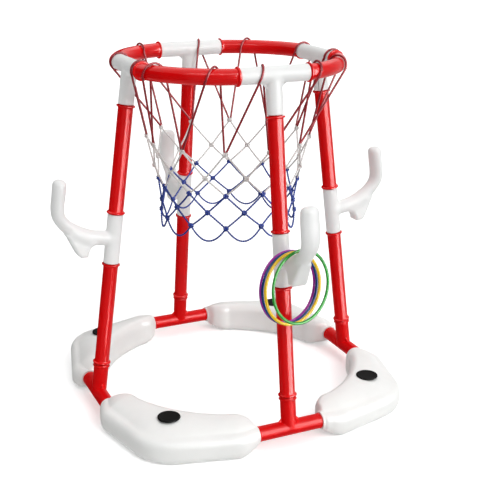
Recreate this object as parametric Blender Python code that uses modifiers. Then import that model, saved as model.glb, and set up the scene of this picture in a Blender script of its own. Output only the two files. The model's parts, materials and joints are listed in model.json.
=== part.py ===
"""Floating basketball hoop for a swimming pool.

Four hollow floats and four red base tees make a ring that lies on the water. A leg of two
plastic tubes rises from each base tee, leans inwards and carries a white rim tee. The tees and
four red corner tubes close the rim, which is a square with round corners. A white coupler
joins the two tubes of each leg, turns about the leg and ends in a hook for toss rings.
A net hangs from the rim on one red cord, and four toss rings hang on the front hook.

Units are metres, +Z is up, and the origin is on the ground in the middle of the hoop.
"""

import math
from typing import NamedTuple

import bmesh
import bpy
from mathutils import Matrix, Vector

# Meshes
WELD = 0.00001  # vertices nearer than this are one
SHARP = math.radians(35)  # faces that meet at more than this keep a sharp edge
ROUNDED = math.radians(50)  # edges sharper than this are rounded
ROUND_SIDES = 14
BENT_SIDES = 12
BEND_SHARES = (0.6, 1.0)  # of the stations of a corner tube's end bend
BEND_STEPS = 4  # straight runs that make the long bend between the end bends

# Fits
GAP = 0.0003  # between two pieces that touch
SOCKET_FIT = 0.0004  # all round a plug that is pushed into a socket
TURNING_FIT = 0.0007  # all round a plug that a coupler turns on
OVERRUN = 0.002  # how far a cutter runs past what it cuts
STEP = 0.0003  # length of the slope at a shoulder of a bent tube

# Red tubes and their white sleeves
TUBE_RADIUS = 0.0120
TUBE_BORE_RADIUS = 0.0085
TUBE_LENGTH = 0.175  # from face to face of the sleeves that it joins
COLLAR_RADIUS = 0.0138
COLLAR_LENGTH = 0.0022
PLUG_RADIUS = 0.0104
PLUG_LENGTH = 0.020
SLEEVE_RADIUS = 0.0127
STEM_RADIUS = 0.0123
SOCKET_MARGIN = 0.002  # how much deeper a socket is than its plug
PASSAGE_RADIUS = 0.0075  # bore between a tee's stem and its run
GUSSET_LEG = 0.0065
GUSSET_THICKNESS = 0.003

# Hoop
RIM_HALF_WIDTH = 0.165  # from the middle to the rim's centreline at a leg
RIM_TEE_RUN = 0.112
RIM_END_BEND_RADIUS = 0.030  # of the short bends at a corner tube's ends
RIM_END_BEND_DEG = 18.0
RIM_STEM = 0.0595
BASE_HALF_WIDTH = 0.238
BASE_TEE_RUN = 0.108
BASE_STEM = 0.0535
BASE_AXIS_HEIGHT = 0.027
BASE_PLUG_LENGTH = 0.025

# Hook couplers
COUPLER_LENGTH = 0.0835
HOOK_LENGTH = 0.107  # from the leg's axis to the back of the tine
HOOK_HEIGHT = 0.093  # from the middle of the arm to the tip of the tine
HOOK_BAR_RADIUS = 0.0120
HOOK_WIDENING_SHARE = 1.15  # of the bar's section, along the tees
HOOK_BAR_SHARES = (  # outwards, up and radius
    (0.030, 0.005, 1.00),
    (0.280, 0.013, 1.00),
    (0.430, 0.040, 1.00),
    (0.580, 0.100, 1.00),
    (0.710, 0.183, 0.92),
    (0.813, 0.285, 0.86),
    (0.879, 0.409, 0.88),
    (0.897, 0.570, 0.88),
    (0.890, 0.731, 0.95),
    (0.888, 0.860, 0.96),
    (0.888, 0.940, 0.80),
    (0.888, 0.985, 0.45),
)
SPUR_WIDTH = 0.0256
SPUR_EDGE_RADIUS = 0.0045
SPUR_SHARES = (  # outwards and up
    (0.290, -0.060),
    (0.350, -0.150),
    (0.385, -0.265),
    (0.420, -0.318),
    (0.490, -0.326),
    (0.530, -0.280),
    (0.580, -0.165),
    (0.640, -0.050),
    (0.560, 0.060),
    (0.400, 0.020),
)

# Toss rings
RING_WIRE_RADIUS = 0.0022
RING_RADIUS = 0.0545  # to the middle of the wire
RING_SIDES = 24
RING_WIRE_SIDES = 6
RING_TURN_DEG = 15.0  # how far the rings are turned from square to the arm
RING_NAMES = ("purple", "blue", "yellow", "green")
RING_SHARES = (0.1729, 0.2430, 0.3271, 0.5467)  # of the hook's length, from the leg's axis
RING_SHIFTS = (0.0018, 0.0018, 0.0014, 0.0)  # sideways, towards where the arm is higher
RING_LOOSENESS = 0.0006  # between a ring and the arm below it

# Floats
FLOAT_WALL = 0.0024
FLOAT_INSIDE_WIDTH = 0.022  # from the base tee's axis in to the inner side, at the tee's middle
FLOAT_FLANK_LEAN_DEG = 14.0  # of the outer side from the line of the base tee
FLOAT_SHOULDER = 0.090  # from the leg's plane to where the float has its full width
FLOAT_SHOULDER_OUTSIDE = 0.0225  # from the base tee's axis to the outer side there
FLOAT_CORNER_RADIUS = 0.074
FLOAT_END_RADIUS = 0.0185
FLOAT_EDGE_RADIUS = 0.014
FLOAT_TOP_INSIDE = 0.0548
FLOAT_TOP_OUTSIDE = 0.0410
FLOAT_CROWN_SHARES = ((0.157, 0.61), (0.36, 1.0))  # of the way in from the outer edge, of the rise
FLOAT_END_SHARES = (  # along, width left out and lift left
    (0.36, 0.93, 0.80),
    (0.52, 0.56, 0.36),
    (0.74, 0.20, 0.08),
)
FLOAT_INNER_SHARES = (0.264, 0.534, 0.730, 0.8675)  # of the inner points, shoulder to middle
FLOAT_FLANK_SHARES = (0.0, 0.33, 0.66)  # of the outer points from the shoulder to the bend
FLOAT_EDGE_TURNS = (9.0, 45.0, 81.0)  # of the points round an edge, in degrees
CAVITY_EDGE_TURNS = (15.0, 75.0)
CAVITY_STATION = 4  # the cavity starts at this section

# Filler plugs
FILLER_INSET_WIDTH = 0.0356  # from the float's inner side to the plug's middle
FILLER_BORE_RADIUS = 0.0125
FILLER_CAP_RADIUS = 0.0178
FILLER_CAP_HEIGHT = 0.0024
FILLER_SEAT_DEPTH = 0.0010
FILLER_NECK_LENGTH = 0.010
FILLER_NECK_WALL = 0.002

# Net
NET_COLUMNS = 12
NET_TURN_DEG = -10.3  # of the even rows of knots
CORD_LOOP_DEGS = (  # where the cord comes to the rim outside it, and where it leaves it inside
    (342.5, 344.5),
    (17.0, 18.0),
    (52.0, 58.0),
    (81.0, 86.5),
    (119.4, 125.4),
    (162.3, 164.5),
    (197.0, 197.8),
    (205.5, 211.5),
    (236.5, 242.5),
    (260.5, 266.5),
    (291.9, 297.9),
    (316.5, 321.5),
)
CORD_RADIUS = 0.0010
CORD_SIDES = 4
CORD_LIFT = 0.0032  # from a top knot of the net to the cord that holds it
CORD_TURN = 0.0036  # length of the cord's turn in a knot
CORD_TURN_STEPS = 6
CORD_OUTSIDE_DEG = -22.0
CORD_INSIDE_DEG = 176.0
TWINE_WIDTH = 0.0022
NET_RADII = (0.134, 0.123, 0.116, 0.112, 0.112, 0.111)
NET_DROPS = (0.123, 0.165, 0.194, 0.223, 0.248, 0.270)  # below the rim's centreline
SCALLOP_STEPS = 4

# Worked out from the sizes above
LEG_LENGTH = BASE_STEM + TUBE_LENGTH + COUPLER_LENGTH + TUBE_LENGTH + RIM_STEM
LEG_LEAN = math.asin((BASE_HALF_WIDTH - RIM_HALF_WIDTH) / LEG_LENGTH)
RIM_HEIGHT = BASE_AXIS_HEIGHT + LEG_LENGTH * math.cos(LEG_LEAN)
END_BEND = math.radians(RIM_END_BEND_DEG)
RIM_FACE = RIM_TEE_RUN / 2
RIM_LONG_BEND_RADIUS = RIM_END_BEND_RADIUS + (
    RIM_HALF_WIDTH - RIM_FACE - RIM_END_BEND_RADIUS
) / (math.cos(END_BEND) - math.sin(END_BEND))
COUPLER_PLACE = BASE_STEM + TUBE_LENGTH + COUPLER_LENGTH / 2
SOCKET_RADIUS = PLUG_RADIUS + SOCKET_FIT
FLANK_LEAN = math.radians(FLOAT_FLANK_LEAN_DEG)
FLOAT_INNER_RADIUS = BASE_HALF_WIDTH - FLOAT_INSIDE_WIDTH  # about the middle of the hoop
FILLER_PLACE = FLOAT_INNER_RADIUS + FILLER_INSET_WIDTH
SHOULDER_OUT = BASE_HALF_WIDTH + FLOAT_SHOULDER_OUTSIDE
SHOULDER_IN = math.sqrt(FLOAT_INNER_RADIUS**2 - FLOAT_SHOULDER**2)
FLANKS_MEET = (SHOULDER_OUT + math.tan(FLANK_LEAN) * FLOAT_SHOULDER) / (1 + math.tan(FLANK_LEAN))
BEND_SPREAD = math.pi / 4 - FLANK_LEAN  # of a float's outer bend, to each side of its middle
BEND_CENTRE = FLANKS_MEET - FLOAT_CORNER_RADIUS / math.cos(BEND_SPREAD) / math.sqrt(2)

LEGS = {"right": 0.0, "back": 90.0, "left": 180.0, "front": 270.0}
CORNERS = {"back_right": 0.0, "back_left": 90.0, "front_left": 180.0, "front_right": 270.0}

RED = "#c4101a"
WHITE = "#eceae6"
BLACK = "#1c1c1c"
CORD_RED = "#8e1a24"
TWINE_BLUE = "#24408c"
RING_COLOURS = {"purple": "#a03090", "blue": "#1c4c8c", "yellow": "#f0c020", "green": "#3cb43c"}
PLASTIC_ROUGHNESS = 0.3
CORD_ROUGHNESS = 0.8


class Section(NamedTuple):
    """An upright section of a float, between its inner and its outer point."""

    inner: tuple
    outer: tuple
    bottom: float
    top_inner: float
    top_outer: float
    edge: float


def clear_scene():
    """Remove every object of the scene."""
    for item in list(bpy.data.objects):
        bpy.data.objects.remove(item, do_unlink=True)


def new_collection(name):
    """A collection in the scene."""
    collection = bpy.data.collections.new(name)
    bpy.context.scene.collection.children.link(collection)
    return collection


def linear(channel):
    """One sRGB channel, from 0 to 1, as linear light."""
    return channel / 12.92 if channel <= 0.04045 else ((channel + 0.055) / 1.055) ** 2.4


def material(name, colour, roughness=PLASTIC_ROUGHNESS):
    """A plastic or cord material from its sRGB hex colour."""
    made = bpy.data.materials.new(name)
    made.use_nodes = True
    shader = made.node_tree.nodes["Principled BSDF"]
    channels = [linear(int(colour[i : i + 2], 16) / 255) for i in (1, 3, 5)]
    shader.inputs["Base Color"].default_value = (*channels, 1.0)
    shader.inputs["Roughness"].default_value = roughness
    shader.inputs["Metallic"].default_value = 0.0
    return made


def helper_object(name, data):
    """An object in the cutters' collection, which the render leaves out."""
    made = bpy.data.objects.new(name, data)
    CUTTERS.objects.link(made)
    made.hide_render = True
    made.display_type = "WIRE"
    return made


def evaluated_mesh(item):
    """The object's mesh with its modifiers applied and its own place kept, then the object goes."""
    bpy.context.view_layer.update()
    graph = bpy.context.evaluated_depsgraph_get()
    mesh = bpy.data.meshes.new_from_object(item.evaluated_get(graph))
    mesh.transform(item.matrix_world)
    bpy.data.objects.remove(item, do_unlink=True)
    shape = bmesh.new()
    shape.from_mesh(mesh)
    bmesh.ops.remove_doubles(shape, verts=shape.verts, dist=WELD)
    bmesh.ops.recalc_face_normals(shape, faces=shape.faces)
    shape.to_mesh(mesh)
    shape.free()
    return mesh


def turned(profile, sides=ROUND_SIDES):
    """A closed profile of (radius, height) turned about Z. It runs down the outer side."""
    mesh = bpy.data.meshes.new("profile")
    points = [(radius, 0.0, height) for radius, height in profile]
    edges = [(i, (i + 1) % len(points)) for i in range(len(points))]
    mesh.from_pydata(points, edges, [])
    item = helper_object("turned", mesh)
    screw = item.modifiers.new("turn", "SCREW")
    screw.axis = "Z"
    screw.steps = sides
    screw.render_steps = sides
    screw.use_merge_vertices = True
    screw.merge_threshold = WELD
    return evaluated_mesh(item)


def rod(radius, top, bottom, sides=ROUND_SIDES):
    """A solid cylinder along Z between two heights."""
    middle = Matrix.Translation((0.0, 0.0, (top + bottom) / 2))
    shape = bmesh.new()
    bmesh.ops.create_cone(
        shape,
        cap_ends=True,
        segments=sides,
        radius1=radius,
        radius2=radius,
        depth=top - bottom,
        matrix=middle @ Matrix.Rotation(math.pi / 2, 4, "Z"),
    )
    mesh = bpy.data.meshes.new("rod")
    shape.to_mesh(mesh)
    shape.free()
    return mesh


def swept(stations, sides, cyclic=False):
    """A round tube along a line, from stations of (point, radius)."""
    curve = bpy.data.curves.new("sweep", "CURVE")
    curve.dimensions = "3D"
    curve.bevel_depth = 1.0
    curve.bevel_resolution = (sides - 4) // 2
    curve.use_fill_caps = not cyclic
    line = curve.splines.new("POLY")
    line.points.add(len(stations) - 1)
    for spot, (point, radius) in zip(line.points, stations):
        spot.co = (*point, 1.0)
        spot.radius = radius
    line.use_cyclic_u = cyclic
    return evaluated_mesh(helper_object("sweep", curve))


def moved(mesh, matrix):
    """The mesh moved by a matrix."""
    mesh.transform(matrix)
    return mesh


def combined(base, others, operation):
    """The base mesh with each other mesh joined to it or cut from it."""
    item = helper_object("base", base)
    for other in others:
        cutter = helper_object("cutter", other)
        step = item.modifiers.new(operation.lower(), "BOOLEAN")
        step.operation = operation
        step.solver = "EXACT"
        step.object = cutter
    cutters = [step.object for step in item.modifiers]
    mesh = evaluated_mesh(item)
    for cutter in cutters:
        bpy.data.objects.remove(cutter, do_unlink=True)
    return mesh


def smooth(mesh):
    """Round faces shaded smooth, with sharp edges kept."""
    mesh.shade_smooth()
    mesh.set_sharp_from_angle(angle=SHARP)
    return mesh


def place(name, mesh, finish, matrix, parent=None):
    """A sub-part: its own object with its own material."""
    made = bpy.data.objects.new(name, mesh)
    PARTS.objects.link(made)
    made.matrix_world = matrix
    if parent is not None:
        made.parent = parent
        made.matrix_parent_inverse = parent.matrix_world.inverted()
    if not mesh.materials:
        mesh.materials.append(finish)
    made.material_slots[0].link = "OBJECT"
    made.material_slots[0].material = finish
    return made


def leg_frame(turn_deg, along):
    """The frame of a leg at a distance up it: Z up the leg, X outwards, Y along the tees."""
    foot = Vector(
        (
            BASE_HALF_WIDTH - along * math.sin(LEG_LEAN),
            0.0,
            BASE_AXIS_HEIGHT + along * math.cos(LEG_LEAN),
        )
    )
    lean = Matrix.Rotation(-LEG_LEAN, 4, "Y")
    return Matrix.Rotation(math.radians(turn_deg), 4, "Z") @ Matrix.Translation(foot) @ lean


def corner_frame(turn_deg):
    """The frame of a corner, turned about the middle of the hoop."""
    return Matrix.Rotation(math.radians(turn_deg), 4, "Z")


def tube_mesh():
    """A leg tube from its lower face: a collar and a plug at each end, and a bore through."""
    top = TUBE_LENGTH - GAP / 2
    bottom = GAP / 2
    upper = [
        (PLUG_RADIUS, top + PLUG_LENGTH),
        (PLUG_RADIUS, top),
        (COLLAR_RADIUS, top),
        (COLLAR_RADIUS, top - COLLAR_LENGTH),
        (TUBE_RADIUS, top - COLLAR_LENGTH),
    ]
    lower = [(radius, top + bottom - height) for radius, height in reversed(upper)]
    bore = [(TUBE_BORE_RADIUS, bottom - PLUG_LENGTH), (TUBE_BORE_RADIUS, top + PLUG_LENGTH)]
    return smooth(turned(upper + lower + bore))


def gusset(reach, side, direction):
    """A small web in the corner between a tee's run, along Y, and its stem, along Z."""
    shape = bmesh.new()
    root = PASSAGE_RADIUS + GAP
    corners = [
        (root, root),
        (reach + GUSSET_LEG, root),
        (reach + GUSSET_LEG, reach),
        (reach, reach + GUSSET_LEG),
        (root, reach + GUSSET_LEG),
    ]
    half = GUSSET_THICKNESS / 2
    rings = [
        [shape.verts.new((x, side * y, direction * z)) for y, z in corners] for x in (-half, half)
    ]
    for i in range(len(corners)):
        j = (i + 1) % len(corners)
        shape.faces.new((rings[0][i], rings[0][j], rings[1][j], rings[1][i]))
    shape.faces.new(rings[0])
    shape.faces.new(rings[1])
    bmesh.ops.recalc_face_normals(shape, faces=shape.faces)
    mesh = bpy.data.meshes.new("gusset")
    shape.to_mesh(mesh)
    shape.free()
    return mesh


def tee_mesh(run_profile, run_bore_radius, run_radius, stem_length, direction):
    """A tee: its run along Y, its stem along Z or -Z, with sockets and bores cut."""
    lay_down = Matrix.Rotation(math.radians(90), 4, "X")
    point_stem = Matrix.Identity(4) if direction > 0 else Matrix.Rotation(math.pi, 4, "X")
    run = moved(turned(run_profile), lay_down)
    stem = moved(rod(STEM_RADIUS, stem_length, 0.0), point_stem)
    webs = [gusset(run_radius - GAP, side, direction) for side in (-1, 1)]
    body = combined(run, [stem, *webs], "UNION")
    length = max(height for _, height in run_profile)
    run_bore = moved(rod(run_bore_radius, length + OVERRUN, -length - OVERRUN), lay_down)
    socket_bottom = stem_length - PLUG_LENGTH - SOCKET_MARGIN
    socket = moved(rod(SOCKET_RADIUS, stem_length + OVERRUN, socket_bottom), point_stem)
    passage = moved(rod(PASSAGE_RADIUS, socket_bottom + OVERRUN, 0.0), point_stem)
    return smooth(combined(body, [run_bore, socket, passage], "DIFFERENCE"))


def rim_tee_mesh():
    """A white rim tee: an open sleeve with a stem that points down the leg."""
    outer = [(SLEEVE_RADIUS, RIM_FACE), (SLEEVE_RADIUS, -RIM_FACE)]
    profile = outer + [(0.0, -RIM_FACE), (0.0, RIM_FACE)]
    return tee_mesh(profile, SOCKET_RADIUS, SLEEVE_RADIUS, RIM_STEM - GAP / 2, -1)


def base_tee_mesh():
    """A red base tee: a collar and a plug at each end of its run, and a stem up the leg."""
    face = BASE_TEE_RUN / 2
    half = [
        (PLUG_RADIUS, face + BASE_PLUG_LENGTH),
        (PLUG_RADIUS, face),
        (COLLAR_RADIUS, face),
        (COLLAR_RADIUS, face - COLLAR_LENGTH),
        (TUBE_RADIUS, face - COLLAR_LENGTH),
    ]
    other = [(radius, -height) for radius, height in reversed(half)]
    ends = [(0.0, -face - BASE_PLUG_LENGTH), (0.0, face + BASE_PLUG_LENGTH)]
    return tee_mesh(half + other + ends, TUBE_BORE_RADIUS, TUBE_RADIUS, BASE_STEM - GAP / 2, 1)


def bend_centres():
    """The middles of a corner's first end bend and of its long bend, with their radii."""
    end = Vector((RIM_HALF_WIDTH - RIM_END_BEND_RADIUS, RIM_FACE, 0.0))
    way = Vector((math.cos(END_BEND), math.sin(END_BEND), 0.0))
    long = end + way * (RIM_END_BEND_RADIUS - RIM_LONG_BEND_RADIUS)
    return (end, RIM_END_BEND_RADIUS), (long, RIM_LONG_BEND_RADIUS)


def bend_point(angle):
    """The point of a corner's middle line where it has turned by an angle."""
    if angle > math.pi / 4:
        point = bend_point(math.pi / 2 - angle)
        return Vector((point.y, point.x, point.z))
    centre, radius = bend_centres()[0 if angle <= END_BEND else 1]
    spot = centre + Vector((math.cos(angle), math.sin(angle), 0.0)) * radius
    return spot + Vector((0.0, 0.0, RIM_HEIGHT))


def rim_arc_stations(ends, collar, radius):
    """Stations of a corner tube: an end, the long bend and the other end.

    An end is given as (depth in the tee, radius) and its collar as (angle round the bend, radius).
    """
    near = [(Vector((RIM_HALF_WIDTH, RIM_FACE - depth, RIM_HEIGHT)), size) for depth, size in ends]
    near += [(bend_point(angle), size) for angle, size in collar]
    near += [(bend_point(END_BEND * share), radius) for share in BEND_SHARES]
    step = (math.pi / 2 - 2 * END_BEND) / BEND_STEPS
    bend = [(bend_point(END_BEND + step * i), radius) for i in range(1, BEND_STEPS)]
    far = [(Vector((point.y, point.x, point.z)), size) for point, size in reversed(near)]
    return near + bend + far


def rim_arc_mesh():
    """A red corner tube of the rim, with a collar and a plug at each end and a bore through."""
    plug = [
        (PLUG_LENGTH, PLUG_RADIUS),
        (-GAP / 2, PLUG_RADIUS),
        (-GAP / 2 - STEP, COLLAR_RADIUS),
    ]
    collar = [
        (COLLAR_LENGTH / RIM_END_BEND_RADIUS, COLLAR_RADIUS),
        ((COLLAR_LENGTH + STEP) / RIM_END_BEND_RADIUS, TUBE_RADIUS),
    ]
    bore = [(PLUG_LENGTH + OVERRUN, TUBE_BORE_RADIUS), (0.0, TUBE_BORE_RADIUS)]
    body = swept(rim_arc_stations(plug, collar, TUBE_RADIUS), BENT_SIDES)
    hollow = swept(rim_arc_stations(bore, [], TUBE_BORE_RADIUS), BENT_SIDES)
    return smooth(combined(body, [hollow], "DIFFERENCE"))


def hook_bar():
    """The middle line of the hook's bar, as (outwards, up the leg, radius)."""
    return [
        (x * HOOK_LENGTH, z * HOOK_HEIGHT, r * HOOK_BAR_RADIUS) for x, z, r in HOOK_BAR_SHARES
    ]


def spur_mesh():
    """The flat spur below the arm, with rounded edges."""
    curve = bpy.data.curves.new("spur", "CURVE")
    curve.dimensions = "2D"
    curve.fill_mode = "BOTH"
    curve.extrude = SPUR_WIDTH / 2
    line = curve.splines.new("POLY")
    line.points.add(len(SPUR_SHARES) - 1)
    line.use_cyclic_u = True
    for spot, (x, z) in zip(line.points, SPUR_SHARES):
        spot.co = (x * HOOK_LENGTH, z * HOOK_HEIGHT, 0.0, 1.0)
    plate = helper_object("plate", evaluated_mesh(helper_object("spur", curve)))
    rounding = plate.modifiers.new("edges", "BEVEL")
    rounding.width = SPUR_EDGE_RADIUS
    rounding.segments = 2
    rounding.limit_method = "ANGLE"
    rounding.angle_limit = ROUNDED
    return moved(evaluated_mesh(plate), Matrix.Rotation(math.radians(90), 4, "X"))


def hook_mesh():
    """A coupler sleeve with its hook, in the leg's frame: the arm points along X."""
    stations = [(Vector((x, 0.0, z)), radius) for x, z, radius in hook_bar()]
    bar = swept(stations, BENT_SIDES)
    bar = moved(bar, Matrix.Diagonal((1.0, HOOK_WIDENING_SHARE, 1.0, 1.0)))
    half = COUPLER_LENGTH / 2 - GAP / 2
    sleeve = rod(SLEEVE_RADIUS, half, -half)
    bore = rod(PLUG_RADIUS + TURNING_FIT, half + OVERRUN, -half - OVERRUN)
    body = combined(sleeve, [bar, spur_mesh()], "UNION")
    return smooth(combined(body, [bore], "DIFFERENCE"))


def float_ring(section, turns, inset):
    """The points of a float's section, moved inwards by the inset. The turns round its edges."""
    inner = Vector(section.inner)
    across = (Vector(section.outer) - inner).normalized()
    width = (Vector(section.outer) - inner).length
    edge = max(section.edge - inset, STEP)
    reach = inset + edge * math.cos(math.radians(turns[0]))
    corners = (
        (reach, section.bottom + reach, 180.0),
        (width - reach, section.bottom + reach, 270.0),
        (width - reach, section.top_outer - reach, 0.0),
        (reach, section.top_inner - reach, 90.0),
    )
    ring = []
    for along, height, start in corners:
        for turn in turns:
            angle = math.radians(start + turn)
            spot = inner + across * (along + edge * math.cos(angle))
            ring.append(Vector((spot.x, spot.y, height + edge * math.sin(angle))))
    outer_top = 3 * len(turns)
    start, end = ring[outer_top - 1], ring[outer_top]
    crown = []
    for share, rise in FLOAT_CROWN_SHARES:
        spot = start.lerp(end, share)
        crown.append(Vector((spot.x, spot.y, start.z + (end.z - start.z) * rise)))
    return ring[:outer_top] + crown + ring[outer_top:]


def float_end_sections():
    """The sections from a float's end, at the back leg's tee, to just before its shoulder."""
    end = BASE_TEE_RUN / 2 + GAP
    end_in = BASE_HALF_WIDTH - FLOAT_END_RADIUS
    end_out = BASE_HALF_WIDTH + FLOAT_END_RADIUS
    end_low = BASE_AXIS_HEIGHT - FLOAT_END_RADIUS
    end_top = BASE_AXIS_HEIGHT + FLOAT_END_RADIUS
    sections = []
    for along_share, width_share, lift_share in ((0.0, 1.0, 1.0), *FLOAT_END_SHARES):
        along = end + (FLOAT_SHOULDER - end) * along_share
        sections.append(
            Section(
                inner=(along, SHOULDER_IN + (end_in - SHOULDER_IN) * width_share),
                outer=(along, SHOULDER_OUT + (end_out - SHOULDER_OUT) * width_share),
                bottom=end_low * lift_share,
                top_inner=FLOAT_TOP_INSIDE + (end_top - FLOAT_TOP_INSIDE) * lift_share,
                top_outer=FLOAT_TOP_OUTSIDE + (end_top - FLOAT_TOP_OUTSIDE) * lift_share,
                edge=FLOAT_EDGE_RADIUS + (FLOAT_END_RADIUS - FLOAT_EDGE_RADIUS) * lift_share,
            )
        )
    return sections


def float_body_sections():
    """The sections from a float's shoulder to the middle of its bend."""
    bend_start = BEND_CENTRE + FLOAT_CORNER_RADIUS * math.cos(math.pi / 4 + BEND_SPREAD)
    outers = []
    for share in FLOAT_FLANK_SHARES:
        along = FLOAT_SHOULDER + (bend_start - FLOAT_SHOULDER) * share
        outers.append((along, SHOULDER_OUT - math.tan(FLANK_LEAN) * (along - FLOAT_SHOULDER)))
    for share in (1.0, 0.5, 0.0):
        angle = math.pi / 4 + BEND_SPREAD * share
        spot = Vector((math.cos(angle), math.sin(angle))) * FLOAT_CORNER_RADIUS
        outers.append((BEND_CENTRE + spot.x, BEND_CENTRE + spot.y))
    inners = [(FLOAT_SHOULDER, SHOULDER_IN)]
    first = math.asin(FLOAT_SHOULDER / FLOAT_INNER_RADIUS)
    for share in (*FLOAT_INNER_SHARES, 1.0):
        angle = first + (math.pi / 4 - first) * share
        inners.append((FLOAT_INNER_RADIUS * math.sin(angle), FLOAT_INNER_RADIUS * math.cos(angle)))
    return [
        Section(inner, outer, 0.0, FLOAT_TOP_INSIDE, FLOAT_TOP_OUTSIDE, FLOAT_EDGE_RADIUS)
        for inner, outer in zip(inners, outers)
    ]


def float_sections():
    """A float's sections from one end to the other. Its second half is the first mirrored."""
    half = float_end_sections() + float_body_sections()
    mirrored = [
        section._replace(inner=section.inner[::-1], outer=section.outer[::-1])
        for section in reversed(half[:-1])
    ]
    return half + mirrored


def lofted(rings):
    """A closed solid through rings of points."""
    shape = bmesh.new()
    rows = [[shape.verts.new(point) for point in ring] for ring in rings]
    for first, second in zip(rows, rows[1:]):
        for i in range(len(first)):
            j = (i + 1) % len(first)
            shape.faces.new((first[i], first[j], second[j], second[i]))
    shape.faces.new(rows[0])
    shape.faces.new(rows[-1])
    bmesh.ops.recalc_face_normals(shape, faces=shape.faces)
    mesh = bpy.data.meshes.new("loft")
    shape.to_mesh(mesh)
    shape.free()
    return mesh


def filler_frame():
    """The filler's frame: its origin on the float's top, Z out of the top."""
    spot = FILLER_PLACE / math.sqrt(2)
    turn = Matrix.Rotation(math.radians(45), 4, "Z")
    return Matrix.Translation((spot, spot, FLOAT_TOP_INSIDE)) @ turn


def float_mesh():
    """A hollow float with a socket for a base tee in each end and a filler hole on top."""
    sections = float_sections()
    body = lofted([float_ring(section, FLOAT_EDGE_TURNS, 0.0) for section in sections])
    hollow = sections[CAVITY_STATION:-CAVITY_STATION]
    cavity = lofted([float_ring(section, CAVITY_EDGE_TURNS, FLOAT_WALL) for section in hollow])
    face = BASE_TEE_RUN / 2
    depth = BASE_PLUG_LENGTH + SOCKET_MARGIN
    along_x = rod(SOCKET_RADIUS, face + depth, face - OVERRUN)
    along_x = moved(along_x, Matrix.Rotation(math.pi / 2, 4, "Y"))
    along_y = rod(SOCKET_RADIUS, OVERRUN - face, -face - depth)
    along_y = moved(along_y, Matrix.Rotation(math.pi / 2, 4, "X"))
    moved(along_x, Matrix.Translation((0.0, BASE_HALF_WIDTH, BASE_AXIS_HEIGHT)))
    moved(along_y, Matrix.Translation((BASE_HALF_WIDTH, 0.0, BASE_AXIS_HEIGHT)))
    frame = filler_frame()
    seat = rod(FILLER_CAP_RADIUS + SOCKET_FIT, FILLER_CAP_HEIGHT + OVERRUN, -FILLER_SEAT_DEPTH)
    hole = rod(FILLER_BORE_RADIUS, OVERRUN, -FILLER_SEAT_DEPTH - FLOAT_WALL - OVERRUN)
    cutters = [cavity, along_x, along_y, moved(seat, frame), moved(hole, frame)]
    return smooth(combined(body, cutters, "DIFFERENCE"))


def filler_plug_mesh():
    """A black filler plug: a flat cap on a hollow neck, open below."""
    low = -FILLER_SEAT_DEPTH + GAP
    neck = FILLER_BORE_RADIUS - SOCKET_FIT
    profile = [
        (0.0, low + FILLER_CAP_HEIGHT),
        (FILLER_CAP_RADIUS, low + FILLER_CAP_HEIGHT),
        (FILLER_CAP_RADIUS, low),
        (neck, low),
        (neck, low - FILLER_NECK_LENGTH),
        (neck - FILLER_NECK_WALL, low - FILLER_NECK_LENGTH),
        (neck - FILLER_NECK_WALL, low),
        (0.0, low),
    ]
    return smooth(turned(profile))


def rim_point(angle_deg):
    """The point of the rim's centreline at an angle about the middle, and outwards from it."""
    turn = math.radians(angle_deg)
    quarter = round(turn / (math.pi / 2))
    local = turn - quarter * math.pi / 2
    side = 1.0 if local >= 0 else -1.0
    local = abs(local)
    point = Vector((RIM_HALF_WIDTH, RIM_HALF_WIDTH * math.tan(local), 0.0))
    outwards = Vector((1.0, 0.0, 0.0))
    if point.y > RIM_FACE:
        direction = Vector((math.cos(local), math.sin(local), 0.0))
        limit = bend_point(END_BEND)
        on_end_bend = direction.y * limit.x <= direction.x * limit.y
        centre, radius = bend_centres()[0 if on_end_bend else 1]
        along = direction.dot(centre)
        point = direction * (along + math.sqrt(along**2 - centre.length_squared + radius**2))
        outwards = (point - centre).normalized()
    point.y *= side
    outwards.y *= side
    spin = Matrix.Rotation(quarter * math.pi / 2, 3, "Z")
    return spin @ point + Vector((0.0, 0.0, RIM_HEIGHT)), spin @ outwards


def knot(row, column):
    """A knot of the net. Odd rows, counted from one, lie half a column round from even ones."""
    pitch = 360.0 / NET_COLUMNS
    offset = pitch / 2 if row % 2 == 0 else 0.0
    angle = math.radians(NET_TURN_DEG - offset + column * pitch)
    radius = NET_RADII[row]
    return Vector(
        (radius * math.cos(angle), radius * math.sin(angle), RIM_HEIGHT - NET_DROPS[row])
    )


def net_cord_mesh():
    """The red cord: one closed line that goes over the rim and through a top knot in turn."""
    stations = []
    step = (CORD_INSIDE_DEG - CORD_OUTSIDE_DEG) / CORD_TURN_STEPS
    wrap = (SLEEVE_RADIUS + GAP + CORD_RADIUS) / math.cos(math.radians(step / 2))
    for column in range(NET_COLUMNS):
        low = knot(0, column) + Vector((0.0, 0.0, CORD_LIFT))
        across = Vector((-low.y, low.x, 0.0)).normalized() * CORD_TURN / 2
        stations += [(low - across, CORD_RADIUS), (low + across, CORD_RADIUS)]
        outside, inside = CORD_LOOP_DEGS[column]
        for i in range(CORD_TURN_STEPS + 1):
            centre, outwards = rim_point(outside + (inside - outside) * i / CORD_TURN_STEPS)
            angle = math.radians(CORD_OUTSIDE_DEG + i * step)
            spot = outwards * math.cos(angle) + Vector((0.0, 0.0, math.sin(angle)))
            stations.append((centre + spot * wrap, CORD_RADIUS))
    return smooth(swept(stations, CORD_SIDES, cyclic=True))


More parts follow.
